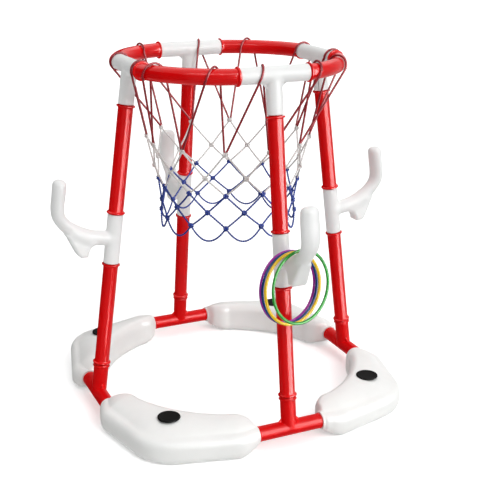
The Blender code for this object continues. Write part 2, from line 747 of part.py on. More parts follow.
def net_twine_mesh():
    """The knotted twine: a flat net of diamonds that hangs as a tube, with scallops below."""
    shape = bmesh.new()
    rows = [
        [shape.verts.new(knot(row, column)) for column in range(NET_COLUMNS)]
        for row in range(len(NET_RADII) - 1)
    ]
    scallops = []
    last = len(NET_RADII) - 1
    for column in range(NET_COLUMNS):
        start = knot(last - 1, column)
        middle = knot(last, column)
        end = knot(last - 1, column + 1)
        points = []
        for i in range(1, SCALLOP_STEPS):
            t = i / SCALLOP_STEPS
            spot = start.lerp(end, t)
            sag = 4 * t * (1 - t)
            spot += (middle - start.lerp(end, 1 / 2)) * sag
            points.append(shape.verts.new(spot))
        scallops.append(points)
    for column in range(NET_COLUMNS):
        after = (column + 1) % NET_COLUMNS
        for row in range(len(rows) - 2):
            middle = column if row % 2 else after
            left, right = rows[row + 1][column], rows[row + 1][after]
            shape.faces.new((rows[row][middle], left, rows[row + 2][middle], right))
        top = rows[-2][column]
        shape.faces.new((top, rows[-1][column], *scallops[column], rows[-1][after]))
    mesh = bpy.data.meshes.new("twine")
    shape.to_mesh(mesh)
    shape.free()
    item = helper_object("twine", mesh)
    strands = item.modifiers.new("strands", "WIREFRAME")
    strands.thickness = TWINE_WIDTH
    strands.use_boundary = True
    strands.use_replace = True
    strands.use_even_offset = True
    return evaluated_mesh(item)


def arm_middle(reach):
    """The height and the upright half thickness of the hook's bar at a distance from the leg."""
    bar = hook_bar()
    for (x0, z0, r0), (x1, z1, r1) in zip(bar, bar[1:]):
        if x0 <= reach <= x1:
            share = (reach - x0) / (x1 - x0)
            slope = math.atan2(z1 - z0, x1 - x0)
            return z0 + (z1 - z0) * share, (r0 + (r1 - r0) * share) / math.cos(slope)
    return bar[0][1], bar[0][2]


def ring_hang():
    """How far below the axis that it swings about a ring's centre hangs, less the bar's half."""
    return (RING_RADIUS - RING_WIRE_RADIUS) * math.cos(math.pi / RING_SIDES)


def ring_frame(place, shift):
    """A ring's frame in the coupler's: its origin on the axis it swings about, Z along that."""
    axis = Vector((math.cos(math.radians(RING_TURN_DEG)), math.sin(math.radians(RING_TURN_DEG)), 0))
    down = leg_frame(LEGS["front"], COUPLER_PLACE).to_3x3().inverted() @ Vector((0, 0, -1))
    down = (down - axis * down.dot(axis)).normalized()
    side = axis.cross(down)
    frame = Matrix((side, -down, axis)).transposed().to_4x4()
    height, half = arm_middle(place)
    frame.translation = Vector((place, 0.0, height)) - side * shift
    return frame, half


def ring_mesh(half):
    """A toss ring that hangs down from the axis that it swings about, over a bar that thick."""
    bpy.ops.mesh.primitive_torus_add(
        major_segments=RING_SIDES,
        minor_segments=RING_WIRE_SIDES,
        major_radius=RING_RADIUS,
        minor_radius=RING_WIRE_RADIUS,
    )
    item = bpy.context.object
    item.location.y = half + RING_LOOSENESS - ring_hang()
    item.rotation_euler.z = math.pi / 2 - math.pi / RING_SIDES
    return smooth(evaluated_mesh(item))


clear_scene()
PARTS = new_collection("floating_basketball_hoop")
CUTTERS = new_collection("cutters")

red_plastic = material("red_polypropylene", RED)
white_plastic = material("white_polyethylene", WHITE)
black_rubber = material("black_rubber", BLACK)
red_cord = material("red_cord", CORD_RED, CORD_ROUGHNESS)
blue_twine = material("blue_twine", TWINE_BLUE, CORD_ROUGHNESS)

base_tee = base_tee_mesh()
tube = tube_mesh()
hook = hook_mesh()
rim_tee = rim_tee_mesh()
hooks = {}
for leg, turn_deg in LEGS.items():
    place(f"base_tee_{leg}", base_tee, red_plastic, leg_frame(turn_deg, 0.0))
    place(f"lower_tube_{leg}", tube, red_plastic, leg_frame(turn_deg, BASE_STEM))
    hooks[leg] = place(f"hook_{leg}", hook, white_plastic, leg_frame(turn_deg, COUPLER_PLACE))
    upper = leg_frame(turn_deg, COUPLER_PLACE + COUPLER_LENGTH / 2)
    place(f"upper_tube_{leg}", tube, red_plastic, upper)
    place(f"rim_tee_{leg}", rim_tee, white_plastic, leg_frame(turn_deg, LEG_LENGTH))

rim_arc = rim_arc_mesh()
pontoon = float_mesh()
filler_plug = filler_plug_mesh()
for corner, turn_deg in CORNERS.items():
    frame = corner_frame(turn_deg)
    place(f"rim_arc_{corner}", rim_arc, red_plastic, frame)
    place(f"float_{corner}", pontoon, white_plastic, frame)
    place(f"filler_plug_{corner}", filler_plug, black_rubber, frame @ filler_frame())

place("net_cord", net_cord_mesh(), red_cord, Matrix.Identity(4))
place("net_twine", net_twine_mesh(), blue_twine, Matrix.Identity(4))

for colour, share, shift in zip(RING_NAMES, RING_SHARES, RING_SHIFTS):
    finish = material(f"{colour}_polyethylene", RING_COLOURS[colour])
    swing, half = ring_frame(share * HOOK_LENGTH, shift)
    spot = leg_frame(LEGS["front"], COUPLER_PLACE) @ swing
    place(f"toss_ring_{colour}", ring_mesh(half), finish, spot, parent=hooks["front"])
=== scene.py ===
"""Looks of a floating basketball hoop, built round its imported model.

Four hollow floats and four base tees make a ring that lies on the water. A leg rises from each
base tee and carries a rim tee, and four bent tubes close the rim. A coupler in the middle of each
leg ends in a hook. A cord laces a knotted net to the rim, and toss rings hang on the front hook.

Units are metres, +Z is up, and the origin is on the ground under the middle of the hoop.
"""

import json
import logging
import math
from collections.abc import Callable, Sequence
from dataclasses import dataclass
from enum import Enum

import bpy
import numpy as np
from mathutils import Matrix, Vector


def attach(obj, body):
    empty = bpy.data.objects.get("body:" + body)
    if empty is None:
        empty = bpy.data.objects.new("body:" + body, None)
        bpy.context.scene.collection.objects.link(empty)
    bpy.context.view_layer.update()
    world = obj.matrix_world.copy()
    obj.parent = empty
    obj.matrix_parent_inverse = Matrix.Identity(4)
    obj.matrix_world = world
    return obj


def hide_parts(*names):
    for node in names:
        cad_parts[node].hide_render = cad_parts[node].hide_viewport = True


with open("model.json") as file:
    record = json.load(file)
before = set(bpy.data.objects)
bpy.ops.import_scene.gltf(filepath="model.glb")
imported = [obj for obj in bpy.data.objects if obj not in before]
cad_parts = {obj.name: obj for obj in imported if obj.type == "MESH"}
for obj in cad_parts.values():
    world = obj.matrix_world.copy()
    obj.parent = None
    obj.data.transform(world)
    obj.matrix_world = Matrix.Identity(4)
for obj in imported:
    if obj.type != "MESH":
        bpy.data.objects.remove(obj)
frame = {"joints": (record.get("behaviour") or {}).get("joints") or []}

LOG = logging.getLogger("hoop")
MM = 0.001
# A radius below this is a point on the axis
ON_AXIS = 1e-7
# How far a cutting solid stands out of the piece that it cuts
OVERRUN = 0.010
# Room round a piece in the space that is searched for its surface
MARGIN = 0.003

Field = Callable[[np.ndarray], np.ndarray]

LEGS = {"right": 0.0, "back": 90.0, "left": 180.0, "front": 270.0}
CORNERS = {"back_right": 0.0, "back_left": 90.0, "front_left": 180.0, "front_right": 270.0}


# Sizes that several pieces share


@dataclass(frozen=True)
class Fit:
    """Sizes of the push fit between a tube and a sleeve."""

    tube_radius: float = 0.0120
    bore_radius: float = 0.0085
    bore_edge: float = 0.0006
    collar_radius: float = 0.0147
    collar_length: float = 0.0020
    collar_edge: float = 0.0005
    collar_fall: float = 0.0012
    collar_root: float = 0.0009
    plug_radius: float = 0.0104
    plug_length: float = 0.020
    plug_chamfer: float = 0.0008
    plug_edge: float = 0.0006
    sleeve_radius: float = 0.0127
    socket_radius: float = 0.0108
    socket_depth: float = 0.022
    socket_edge: float = 0.0004
    seam: float = 0.0014
    clear: float = 0.0003

    def tube_end(self, reach: float) -> list[tuple[float, float, float]]:
        """Outline a tube's plug, its collar and the start of its drawn length.

        Args:
            reach: How far the plug goes into the sleeve.

        Returns:
            Radius, distance from the sleeve's face and rounding of each corner.
        """
        face = self.seam / 2
        rim = face + self.collar_length
        return [
            (self.plug_radius - self.plug_chamfer, -reach, 0.0),
            (self.plug_radius, 2 * self.plug_chamfer - reach, self.plug_edge),
            (self.plug_radius, face, 0.0),
            (self.collar_radius, face, self.collar_edge),
            (self.collar_radius, rim, self.collar_edge),
            (self.tube_radius, rim + self.collar_fall, self.collar_root),
        ]


@dataclass(frozen=True)
class Stance:
    """Where the legs, the rim and the base stand."""

    rim_half_width: float = 0.165
    base_half_width: float = 0.238
    base_height: float = 0.027
    base_stem: float = 0.0535
    tube_length: float = 0.175
    coupler_length: float = 0.0835
    rim_stem: float = 0.0595
    rim_run: float = 0.112
    rim_end_radius: float = 0.030
    rim_end_bend: float = math.radians(18.0)
    base_run: float = 0.108

    @property
    def leg_length(self) -> float:
        """Length of a leg between the axes of its two tees."""
        return self.base_stem + 2 * self.tube_length + self.coupler_length + self.rim_stem

    @property
    def lean(self) -> float:
        """Angle of a leg from upright."""
        return math.asin((self.base_half_width - self.rim_half_width) / self.leg_length)

    @property
    def rim_height(self) -> float:
        """Height of the rim's centreline."""
        return self.base_height + self.leg_length * math.cos(self.lean)

    @property
    def rim_bends(self) -> tuple[tuple[Vector, float], tuple[Vector, float]]:
        """Middle and radius of a rim corner's first end bend and of its long bend.

        Returns:
            The middle and the radius of each.
        """
        short, turn = self.rim_end_radius, self.rim_end_bend
        first = Vector((self.rim_half_width - short, self.rim_run / 2, self.rim_height))
        slope = math.cos(turn) - math.sin(turn)
        long = short + (self.rim_half_width - self.rim_run / 2 - short) / slope
        way = Vector((math.cos(turn), math.sin(turn), 0.0))
        return (first, short), (first + way * (short - long), long)

    @property
    def coupler_place(self) -> float:
        """Distance up a leg to the middle of its coupler."""
        return self.base_stem + self.tube_length + self.coupler_length / 2

    def leg_frame(self, turn_deg: float, along: float) -> Matrix:
        """Frame of a leg at a distance up it.

        Args:
            turn_deg: The leg's turn about the middle of the hoop.
            along: Distance up the leg from the base tee's axis.

        Returns:
            A frame with Z up the leg, X outwards and Y along the tees.
        """
        foot = Vector(
            (
                self.base_half_width - along * math.sin(self.lean),
                0.0,
                self.base_height + along * math.cos(self.lean),
            )
        )
        turn = Matrix.Rotation(math.radians(turn_deg), 4, "Z")
        return turn @ Matrix.Translation(foot) @ Matrix.Rotation(-self.lean, 4, "Y")

    def leg_frames(self, stem: str, along: float) -> dict[str, Matrix]:
        """Give the frame at a distance up each leg.

        Args:
            stem: Name of the solids there, without their leg.
            along: Distance up the leg from the base tee's axis.

        Returns:
            The frames, by the solids' names.
        """
        return {f"{stem}_{leg}": self.leg_frame(turn, along) for leg, turn in LEGS.items()}

    def corner_frames(self, stem: str) -> dict[str, Matrix]:
        """Give the turn of each corner about the middle of the hoop.

        Args:
            stem: Name of the solids there, without their corner.

        Returns:
            The turns, by the solids' names.
        """
        return {
            f"{stem}_{corner}": Matrix.Rotation(math.radians(turn), 4, "Z")
            for corner, turn in CORNERS.items()
        }


FIT = Fit()
STANCE = Stance()


# Colours and materials

# How rough every noise is, and between which values nearly all of it lies
NOISE_ROUGHNESS = 0.55
NOISE_LOW, NOISE_HIGH = 0.3, 0.7
# Numbers of a Mix node's factor, its two colours and its result
MIX_FACTOR, MIX_FIRST, MIX_SECOND, MIX_RESULT = 0, 6, 7, 2


def linear_colour(code: str) -> tuple[float, float, float, float]:
    """Turn an sRGB hex colour to linear light.

    Args:
        code: The colour as #rrggbb.

    Returns:
        Red, green, blue and alpha.
    """
    channels = [int(code[i : i + 2], 16) / 255 for i in (1, 3, 5)]
    light = [c / 12.92 if c <= 0.04045 else ((c + 0.055) / 1.055) ** 2.4 for c in channels]
    return (light[0], light[1], light[2], 1.0)


def add_node(
    tree: bpy.types.NodeTree,
    kind: str,
    settings: dict | None = None,
    links: dict | None = None,
) -> bpy.types.Node:
    """Add a node with its settings and links.

    Args:
        tree: The material's or world's node tree.
        kind: The node's type, without its leading word.
        settings: Values by attribute, or by the name or index of an input.
        links: Output sockets by the name or index of the input they feed.

    Returns:
        The node.
    """
    node = tree.nodes.new(f"ShaderNode{kind}")
    attributes = {k: v for k, v in (settings or {}).items() if isinstance(k, str)}
    for key, value in attributes.items():
        if hasattr(node, key) and key not in node.inputs:
            setattr(node, key, value)
    for key, value in (settings or {}).items():
        if isinstance(key, int) or key in node.inputs:
            node.inputs[key].default_value = value
    for key, socket in (links or {}).items():
        tree.links.new(socket, node.inputs[key])
    return node


def noise_at(
    tree: bpy.types.NodeTree,
    size_mm: float,
    stretch: tuple[float, float, float] = (1.0, 1.0, 1.0),
    detail: float = 2.0,
) -> bpy.types.NodeSocket:
    """Add a noise of a real size on the piece.

    Args:
        tree: The material's node tree.
        size_mm: Width of a patch of the noise.
        stretch: How much longer a patch is along X, Y and Z.
        detail: How many finer layers it has.

    Returns:
        The noise's value socket.
    """
    place = add_node(tree, "TexCoord")
    scale = tuple(1 / (size_mm * MM * s) for s in stretch)
    mapping = add_node(tree, "Mapping", {"Scale": scale}, {"Vector": place.outputs["Object"]})
    noise = add_node(
        tree,
        "TexNoise",
        {"Scale": 1.0, "Detail": detail, "Roughness": NOISE_ROUGHNESS},
        {"Vector": mapping.outputs["Vector"]},
    )
    return noise.outputs[0]


def ranged(
    tree: bpy.types.NodeTree, socket: bpy.types.NodeSocket, low: float, high: float
) -> bpy.types.NodeSocket:
    """Map a noise's middle values to a range.

    Args:
        tree: The material's node tree.
        socket: The noise's value.
        low: What it gives at the noise's low end.
        high: What it gives at the noise's high end.

    Returns:
        The mapped value's socket.
    """
    settings = {"From Min": NOISE_LOW, "From Max": NOISE_HIGH, "To Min": low, "To Max": high}
    return add_node(tree, "MapRange", settings, {"Value": socket}).outputs["Result"]


def blended_colour(
    tree: bpy.types.NodeTree, factor: bpy.types.NodeSocket, first: str, second: str
) -> bpy.types.NodeSocket:
    """Blend two hex colours by a factor.

    Args:
        tree: The material's node tree.
        factor: 0 gives the first colour and 1 the second.
        first: A hex colour.
        second: A hex colour.

    Returns:
        The colour's socket.
    """
    settings = {
        "data_type": "RGBA",
        MIX_FIRST: linear_colour(first),
        MIX_SECOND: linear_colour(second),
    }
    return add_node(tree, "Mix", settings, {MIX_FACTOR: factor}).outputs[MIX_RESULT]


def bumped(
    tree: bpy.types.NodeTree,
    height: bpy.types.NodeSocket,
    depth_mm: float,
    before: bpy.types.NodeSocket | None = None,
) -> bpy.types.NodeSocket:
    """Raise a surface by a height map.

    Args:
        tree: The material's node tree.
        height: The height's value, from 0 to 1.
        depth_mm: Height of the value 1.
        before: The normal of an earlier bump.

    Returns:
        The normal's socket.
    """
    links = {"Height": height}
    if before is not None:
        links["Normal"] = before
    settings = {"Strength": 1.0, "Distance": depth_mm * MM}
    return add_node(tree, "Bump", settings, links).outputs["Normal"]


def new_material(name: str) -> tuple[bpy.types.Material, bpy.types.NodeTree, bpy.types.Node]:
    """Make a material with one Principled shader.

    Args:
        name: The material's name.

    Returns:
        The material, its node tree and its shader.
    """
    made = bpy.data.materials.new(name)
    made.use_nodes = True
    return made, made.node_tree, made.node_tree.nodes["Principled BSDF"]


@dataclass(frozen=True)
class MouldedPlastic:
    """A solid-coloured plastic from a mould.

    The mould leaves long shallow waves, a fine grain and a slight drift in colour and gloss.
    """

    name: str
    colour: str
    shade: str
    roughness: float
    wave_mm: float
    wave_depth_mm: float
    grain_mm: float
    grain_depth_mm: float
    ior: float = 1.5
    drawn: float = 1.0
    glow: float = 0.0
    glow_depth_mm: float = 2.0
    glow_colour: tuple[float, float, float] = (1.0, 1.0, 0.9)
    mirror: float = 0.12
    drift_mm: float = 45.0
    gloss_mm: float = 9.0
    gloss_spread: float = 0.05

    def material(self) -> bpy.types.Material:
        """Build the material, with the waves drawn out along the piece's own Z.

        Returns:
            The material.
        """
        made, tree, shader = new_material(self.name)
        drift = ranged(tree, noise_at(tree, self.drift_mm), 0.0, 1.0)
        tree.links.new(
            blended_colour(tree, drift, self.colour, self.shade), shader.inputs["Base Color"]
        )
        gloss = noise_at(tree, self.gloss_mm, detail=4.0)
        gloss = ranged(tree, gloss, -self.gloss_spread, self.gloss_spread)
        gloss = add_node(tree, "Math", {"operation": "ADD", 1: self.roughness}, {0: gloss})
        tree.links.new(gloss.outputs[0], shader.inputs["Roughness"])
        wave = noise_at(tree, self.wave_mm, (1.0, 1.0, self.drawn), 1.0)
        normal = bumped(tree, wave, self.wave_depth_mm)
        grain = noise_at(tree, self.grain_mm, detail=3.0)
        normal = bumped(tree, grain, self.grain_depth_mm, normal)
        tree.links.new(normal, shader.inputs["Normal"])
        shader.inputs["IOR"].default_value = self.ior
        shader.inputs["Specular IOR Level"].default_value = self.mirror
        if self.glow:
            shader.inputs["Subsurface Weight"].default_value = self.glow
            shader.inputs["Subsurface Radius"].default_value = self.glow_colour
            shader.inputs["Subsurface Scale"].default_value = self.glow_depth_mm * MM
        return made


@dataclass(frozen=True)
class LaidThread:
    """A cord or twine of synthetic fibre.

    Its strands run round it at a slant with painted shade between them, fine fibres along them and
    a soft sheen.
    """

    name: str
    colour: str
    shade: str
    strand_mm: float
    roughness: float
    strands: float = 2.0
    wave_scale: float = 0.5
    wobble: float = 0.6
    # How far the painted shade darkens the grooves between strands
    groove_shade_share: float = 0.6
    strand_depth_mm: float = 0.12
    fibre_mm: float = 0.6
    fibre_share: float = 0.5
    fibre_depth_mm: float = 0.05
    sheen: float = 0.06
    sheen_roughness: float = 0.4
    mirror: float = 0.15

    def material(self) -> bpy.types.Material:
        """Build the material. Its map runs along the thread in metres, and once round it.

        Returns:
            The material.
        """
        made, tree, shader = new_material(self.name)
        place = add_node(tree, "UVMap", {"uv_map": "thread"})
        mapping = add_node(
            tree,
            "Mapping",
            {"Scale": (1 / (self.strand_mm * MM), self.strands, 1.0)},
            {"Vector": place.outputs["UV"]},
        )
        slanted = {"wave_type": "BANDS", "bands_direction": "DIAGONAL"}
        slanted |= {"Scale": self.wave_scale, "Distortion": self.wobble}
        waves = add_node(tree, "TexWave", slanted, {"Vector": mapping.outputs["Vector"]})
        strand = waves.outputs["Fac"]
        fibres = noise_at(tree, self.fibre_mm, detail=3.0)
        # Painted shade: the colour falls to the shade colour in the grooves between strands, where
        # the bump is low; the fibre noise adds real random tone
        groove_shade = {"operation": "MULTIPLY", 1: self.groove_shade_share}
        groove_shade = add_node(tree, "Math", groove_shade, {0: strand}).outputs[0]
        groove_shade_and_fibre_tone = {"operation": "MULTIPLY_ADD", 1: self.fibre_share}
        groove_shade_and_fibre_tone = add_node(tree, "Math", groove_shade_and_fibre_tone, {0: fibres, 2: groove_shade}).outputs[0]
        colour = blended_colour(tree, groove_shade_and_fibre_tone, self.shade, self.colour)
        tree.links.new(colour, shader.inputs["Base Color"])
        normal = bumped(tree, strand, self.strand_depth_mm)
        normal = bumped(tree, fibres, self.fibre_depth_mm, normal)
        tree.links.new(normal, shader.inputs["Normal"])
        shader.inputs["Roughness"].default_value = self.roughness
        shader.inputs["Sheen Weight"].default_value = self.sheen
        shader.inputs["Sheen Roughness"].default_value = self.sheen_roughness
        shader.inputs["Specular IOR Level"].default_value = self.mirror
        return made


# Polypropylene drawn through a die: a mirror-like skin with faint lines along the tube
TUBE_RED = MouldedPlastic(
    name="extruded_polypropylene_red",
    colour="#dd0407",
    shade="#d20306",
    roughness=0.20,
    ior=1.49,
    wave_mm=5.0,
    wave_depth_mm=0.012,
    grain_mm=0.7,
    grain_depth_mm=0.002,
    drawn=30.0,
)
# Polypropylene from a polished mould: as glossy, with waves that run no special way
MOULD_RED = MouldedPlastic(
    name="moulded_polypropylene_red",
    colour="#dd0407",
    shade="#d20306",
    roughness=0.20,
    ior=1.49,
    wave_mm=14.0,
    wave_depth_mm=0.02,
    grain_mm=0.7,
    grain_depth_mm=0.002,
)
# The same from a plain mould: satin, so that its highlights are wide and dim
SATIN_RED = MouldedPlastic(
    name="satin_polypropylene_red",
    colour="#dd0407",
    shade="#d20306",
    roughness=0.31,
    ior=1.49,
    wave_mm=12.0,
    wave_depth_mm=0.04,
    grain_mm=0.7,
    grain_depth_mm=0.003,
    mirror=0.06,
)
# Polyethylene from a plain mould: a satin skin, slightly waxy
MOULD_WHITE = MouldedPlastic(
    name="moulded_polyethylene_white",
    colour="#f0f1f0",
    shade="#ecedec",
    roughness=0.32,
    wave_mm=16.0,
    wave_depth_mm=0.03,
    grain_mm=0.6,
    grain_depth_mm=0.003,
    glow=0.08,
    mirror=0.04,
)
# Blown polyethylene: thin walls that shrink as they cool, so its waves are longer and deeper
BLOWN_WHITE = MouldedPlastic(
    name="blown_polyethylene_white",
    colour="#f4f5f3",
    shade="#eff0ee",
    roughness=0.34,
    wave_mm=38.0,
    wave_depth_mm=0.12,
    grain_mm=0.8,
    grain_depth_mm=0.004,
    glow=0.08,
)
# Soft vinyl with a fine spark-eroded grain, which takes the shine off
VINYL_BLACK = MouldedPlastic(
    name="grained_vinyl_black",
    colour="#070707",
    shade="#0b0b0b",
    roughness=0.62,
    wave_mm=8.0,
    wave_depth_mm=0.02,
    grain_mm=0.9,
    grain_depth_mm=0.05,
    mirror=0.03,
)
# Braided polyester: a round hard cord whose plait shows as slanting flecks of painted shade in its
# grooves
CORD_RED = LaidThread(
    name="braided_polyester_red", colour="#a01020", shade="#560611", strand_mm=2.2, roughness=0.45
)
# Twisted nylon: two soft strands with a silky sheen
TWINE_WHITE = LaidThread(
    name="twisted_nylon_white", colour="#e4e2e0", shade="#b9b6b3", strand_mm=1.6, roughness=0.6
)
TWINE_BLUE = LaidThread(
    name="twisted_nylon_blue", colour="#0d3596", shade="#071c58", strand_mm=1.6, roughness=0.6
)


class RingColour(Enum):
    """Toss rings from the leg outwards: name, colour, shade and half the arm's height there."""

    PURPLE = ("purple", "#b22fae", "#9a2497", 0.0120046)
    BLUE = ("blue", "#0e3f80", "#0a3068", 0.0120046)
    YELLOW = ("yellow", "#f2cc22", "#e2b516", 0.012146)
    GREEN = ("green", "#239a2a", "#178221", 0.0127045)

    def finish(self) -> MouldedPlastic:
        """Glossy polyethylene wire, drawn and welded to a ring.

        Returns:
            The ring's finish.
        """
        name, colour, shade, _ = self.value
        return MouldedPlastic(
            name=f"drawn_polyethylene_{name}",
            colour=colour,
            shade=shade,
            roughness=0.22,
            wave_mm=9.0,
            wave_depth_mm=0.01,
            grain_mm=0.7,
            grain_depth_mm=0.002,
        )


# Meshes


@dataclass
class Shell:
    """Points and faces that become one mesh."""

    points: np.ndarray
    faces: list
    along: np.ndarray | None = None

    def mesh(self, name: str) -> bpy.types.Mesh:
        """Make a mesh shaded smooth, with a map along the thread where there is one.

        Args:
            name: The mesh's name.

        Returns:
            The mesh.
        """
        made = bpy.data.meshes.new(name)
        made.from_pydata([tuple(p) for p in self.points], [], self.faces)
        if self.along is not None:
            layer = made.uv_layers.new(name="thread")
            corners = np.zeros(len(made.loops), dtype=np.int32)
            made.loops.foreach_get("vertex_index", corners)
            layer.data.foreach_set("uv", self.along[corners].astype(np.float32).ravel())
        made.validate()
        made.shade_smooth()
        return made


def new_object(name: str, data: bpy.types.ID) -> bpy.types.Object:
    """Make an object and show it in the scene.

    Args:
        name: The object's name.
        data: Its mesh, lamp or camera.

    Returns:
        The object.
    """
    made = bpy.data.objects.new(name, data)
    bpy.context.scene.collection.objects.link(made)
    return made


def flat_mesh(name: str, wide: float, high: float) -> bpy.types.Mesh:
    """Make a flat rectangle that faces up.

    Args:
        name: The mesh's name.
        wide: Half its width, along X.
        high: Half its height, along Y.

    Returns:
        The mesh.
    """
    made = bpy.data.meshes.new(name)
    corners = [(-wide, -high, 0), (wide, -high, 0), (wide, high, 0), (-wide, high, 0)]
    made.from_pydata(corners, [], [(0, 1, 2, 3)])
    return made


def joined(shells: Sequence[Shell]) -> Shell:
    """Join many shells at once.

    Args:
        shells: The shells.

    Returns:
        One shell with all of them.
    """
    faces, shift = [], 0
    for shell in shells:
        faces += [tuple(i + shift for i in face) for face in shell.faces]
        shift += len(shell.points)
    along = None
    if all(shell.along is not None for shell in shells):
        along = np.vstack([shell.along for shell in shells])
    return Shell(np.vstack([shell.points for shell in shells]), faces, along)


def grid_faces(rows: int, columns: int, closed: bool) -> list:
    """List the faces of a tube of rings.

    Args:
        rows: Number of rings.
        columns: Number of points in a ring.
        closed: Whether the last ring joins the first.

    Returns:
        The faces, as point indices.
    """
    faces = []
    for row in range(rows if closed else rows - 1):
        after = (row + 1) % rows
        for column in range(columns):
            beside = (column + 1) % columns
            faces.append(
                (
                    row * columns + column,
                    row * columns + beside,
                    after * columns + beside,
                    after * columns + column,
                )
            )
    return faces


def softened(corners: Sequence[tuple[float, float, float]], steps: int = 4) -> list:
    """Round the corners of a closed outline.

    Args:
        corners: Two coordinates of each corner and the length that its rounding takes of a side.
        steps: Number of runs in a rounding.

    Returns:
        The outline's points.
    """
    points = []
    count = len(corners)
    for i in range(count):
        here = Vector(corners[i][:2])
        size = corners[i][2]
        if size <= 0:
            points.append(tuple(here))
            continue
        before = here + (Vector(corners[i - 1][:2]) - here).normalized() * size
        after = here + (Vector(corners[(i + 1) % count][:2]) - here).normalized() * size
        for step in range(steps + 1):
            t = step / steps
            spot = before * (1 - t) ** 2 + here * 2 * t * (1 - t) + after * t**2
            points.append(tuple(spot))
    return points


def turned(outline: Sequence[tuple[float, float]], sides: int = 72) -> Shell:
    """Turn a closed outline about Z.

    Args:
        outline: Radius and height of each point, down the outer side first.
        sides: Number of sides.

    Returns:
        The shell.
    """
    points, starts = [], []
    for radius, height in outline:
        starts.append(len(points))
        if radius < ON_AXIS:
            points.append((0.0, 0.0, height))
            continue
        for i in range(sides):
            angle = 2 * math.pi * i / sides
            points.append((radius * math.cos(angle), radius * math.sin(angle), height))
    faces = []
    for k, (radius, _) in enumerate(outline):
        j = (k + 1) % len(outline)
        one, other = radius < ON_AXIS, outline[j][0] < ON_AXIS
        for i in range(sides):
            n = (i + 1) % sides
            if one and not other:
                faces.append((starts[k], starts[j] + i, starts[j] + n))
            elif other and not one:
                faces.append((starts[k] + i, starts[j], starts[k] + n))
            elif not one:
                faces.append((starts[k] + i, starts[j] + i, starts[j] + n, starts[k] + n))
    return Shell(np.array(points), faces)


def swept(
    centres: np.ndarray,
    radii: np.ndarray,
    sides: int,
    closed: bool = False,
    tangents: np.ndarray | None = None,
    lobes: int = 0,
    lobe_depth: float = 0.0,
    lay: float = 1.0,
) -> Shell:
    """Sweep a round or lobed section along a line.

    Args:
        centres: Points of the line.
        radii: Radius at each point.
        sides: Number of points in a section.
        closed: Whether the line closes on itself.
        tangents: Direction at each point, or None to find them.
        lobes: Number of strands that show in the section.
        lobe_depth: Depth between two strands, as a share of the radius.
        lay: Length in which a strand goes once round.

    Returns:
        The shell, with its map along the line.
    """
    count = len(centres)
    if tangents is None:
        if closed:
            tangents = np.roll(centres, -1, 0) - np.roll(centres, 1, 0)
        else:
            tangents = np.gradient(centres, axis=0)
    tangents = tangents / np.linalg.norm(tangents, axis=1, keepdims=True)
    helper = np.eye(3)[np.argmin(np.abs(tangents[0]))]
    normal = np.cross(tangents[0], helper)
    normal /= np.linalg.norm(normal)
    normals = [normal]
    for i in range(1, count):
        normal = normal - tangents[i] * normal.dot(tangents[i])
        normal /= np.linalg.norm(normal)
        normals.append(normal)
    normals = np.array(normals)
    sides_of = np.cross(tangents, normals)
    lengths = np.linalg.norm(np.diff(centres, axis=0), axis=1)
    travelled = np.concatenate(([0.0], np.cumsum(lengths)))
    twist = np.zeros(count)
    if closed:
        back = normal - tangents[0] * normal.dot(tangents[0])
        slip = math.atan2(back.dot(sides_of[0]), back.dot(normals[0]))
        twist = -slip * np.arange(count) / count
    angles = np.linspace(0, 2 * math.pi, sides, endpoint=False)
    around = angles[None, :] + twist[:, None]
    reach = np.repeat(np.asarray(radii, float)[:, None], sides, 1)
    if lobes:
        phase = lobes * (angles[None, :] - 2 * math.pi * travelled[:, None] / lay)
        reach = reach * (1 - lobe_depth / 2 + lobe_depth / 2 * np.cos(phase))
    points = (
        centres[:, None, :]
        + normals[:, None, :] * (np.cos(around) * reach)[:, :, None]
        + sides_of[:, None, :] * (np.sin(around) * reach)[:, :, None]
    ).reshape(-1, 3)
    faces = grid_faces(count, sides, closed)
    if not closed:
        faces.append(tuple(reversed(range(sides))))
        faces.append(tuple(range((count - 1) * sides, count * sides)))
    along = np.stack(
        (np.repeat(travelled, sides), np.tile(angles / (2 * math.pi), count)), axis=1
    )
    return Shell(points, faces, along)


# Rounds that put a net's points on the surface, and how many of them even the points out first
SETTLE_ROUNDS, EVEN_ROUNDS = 5, 3
# How far a point goes to its neighbours' middle, and the cells between two points of a slope
EVEN_SHARE, PROBE_SHARE = 0.5, 0.05
# The least squared slope that a step is worked out from
LEAST_SLOPE = 0.2
# Edges that turn more than this stay sharp after a cut
SHARP_DEG = 35.0


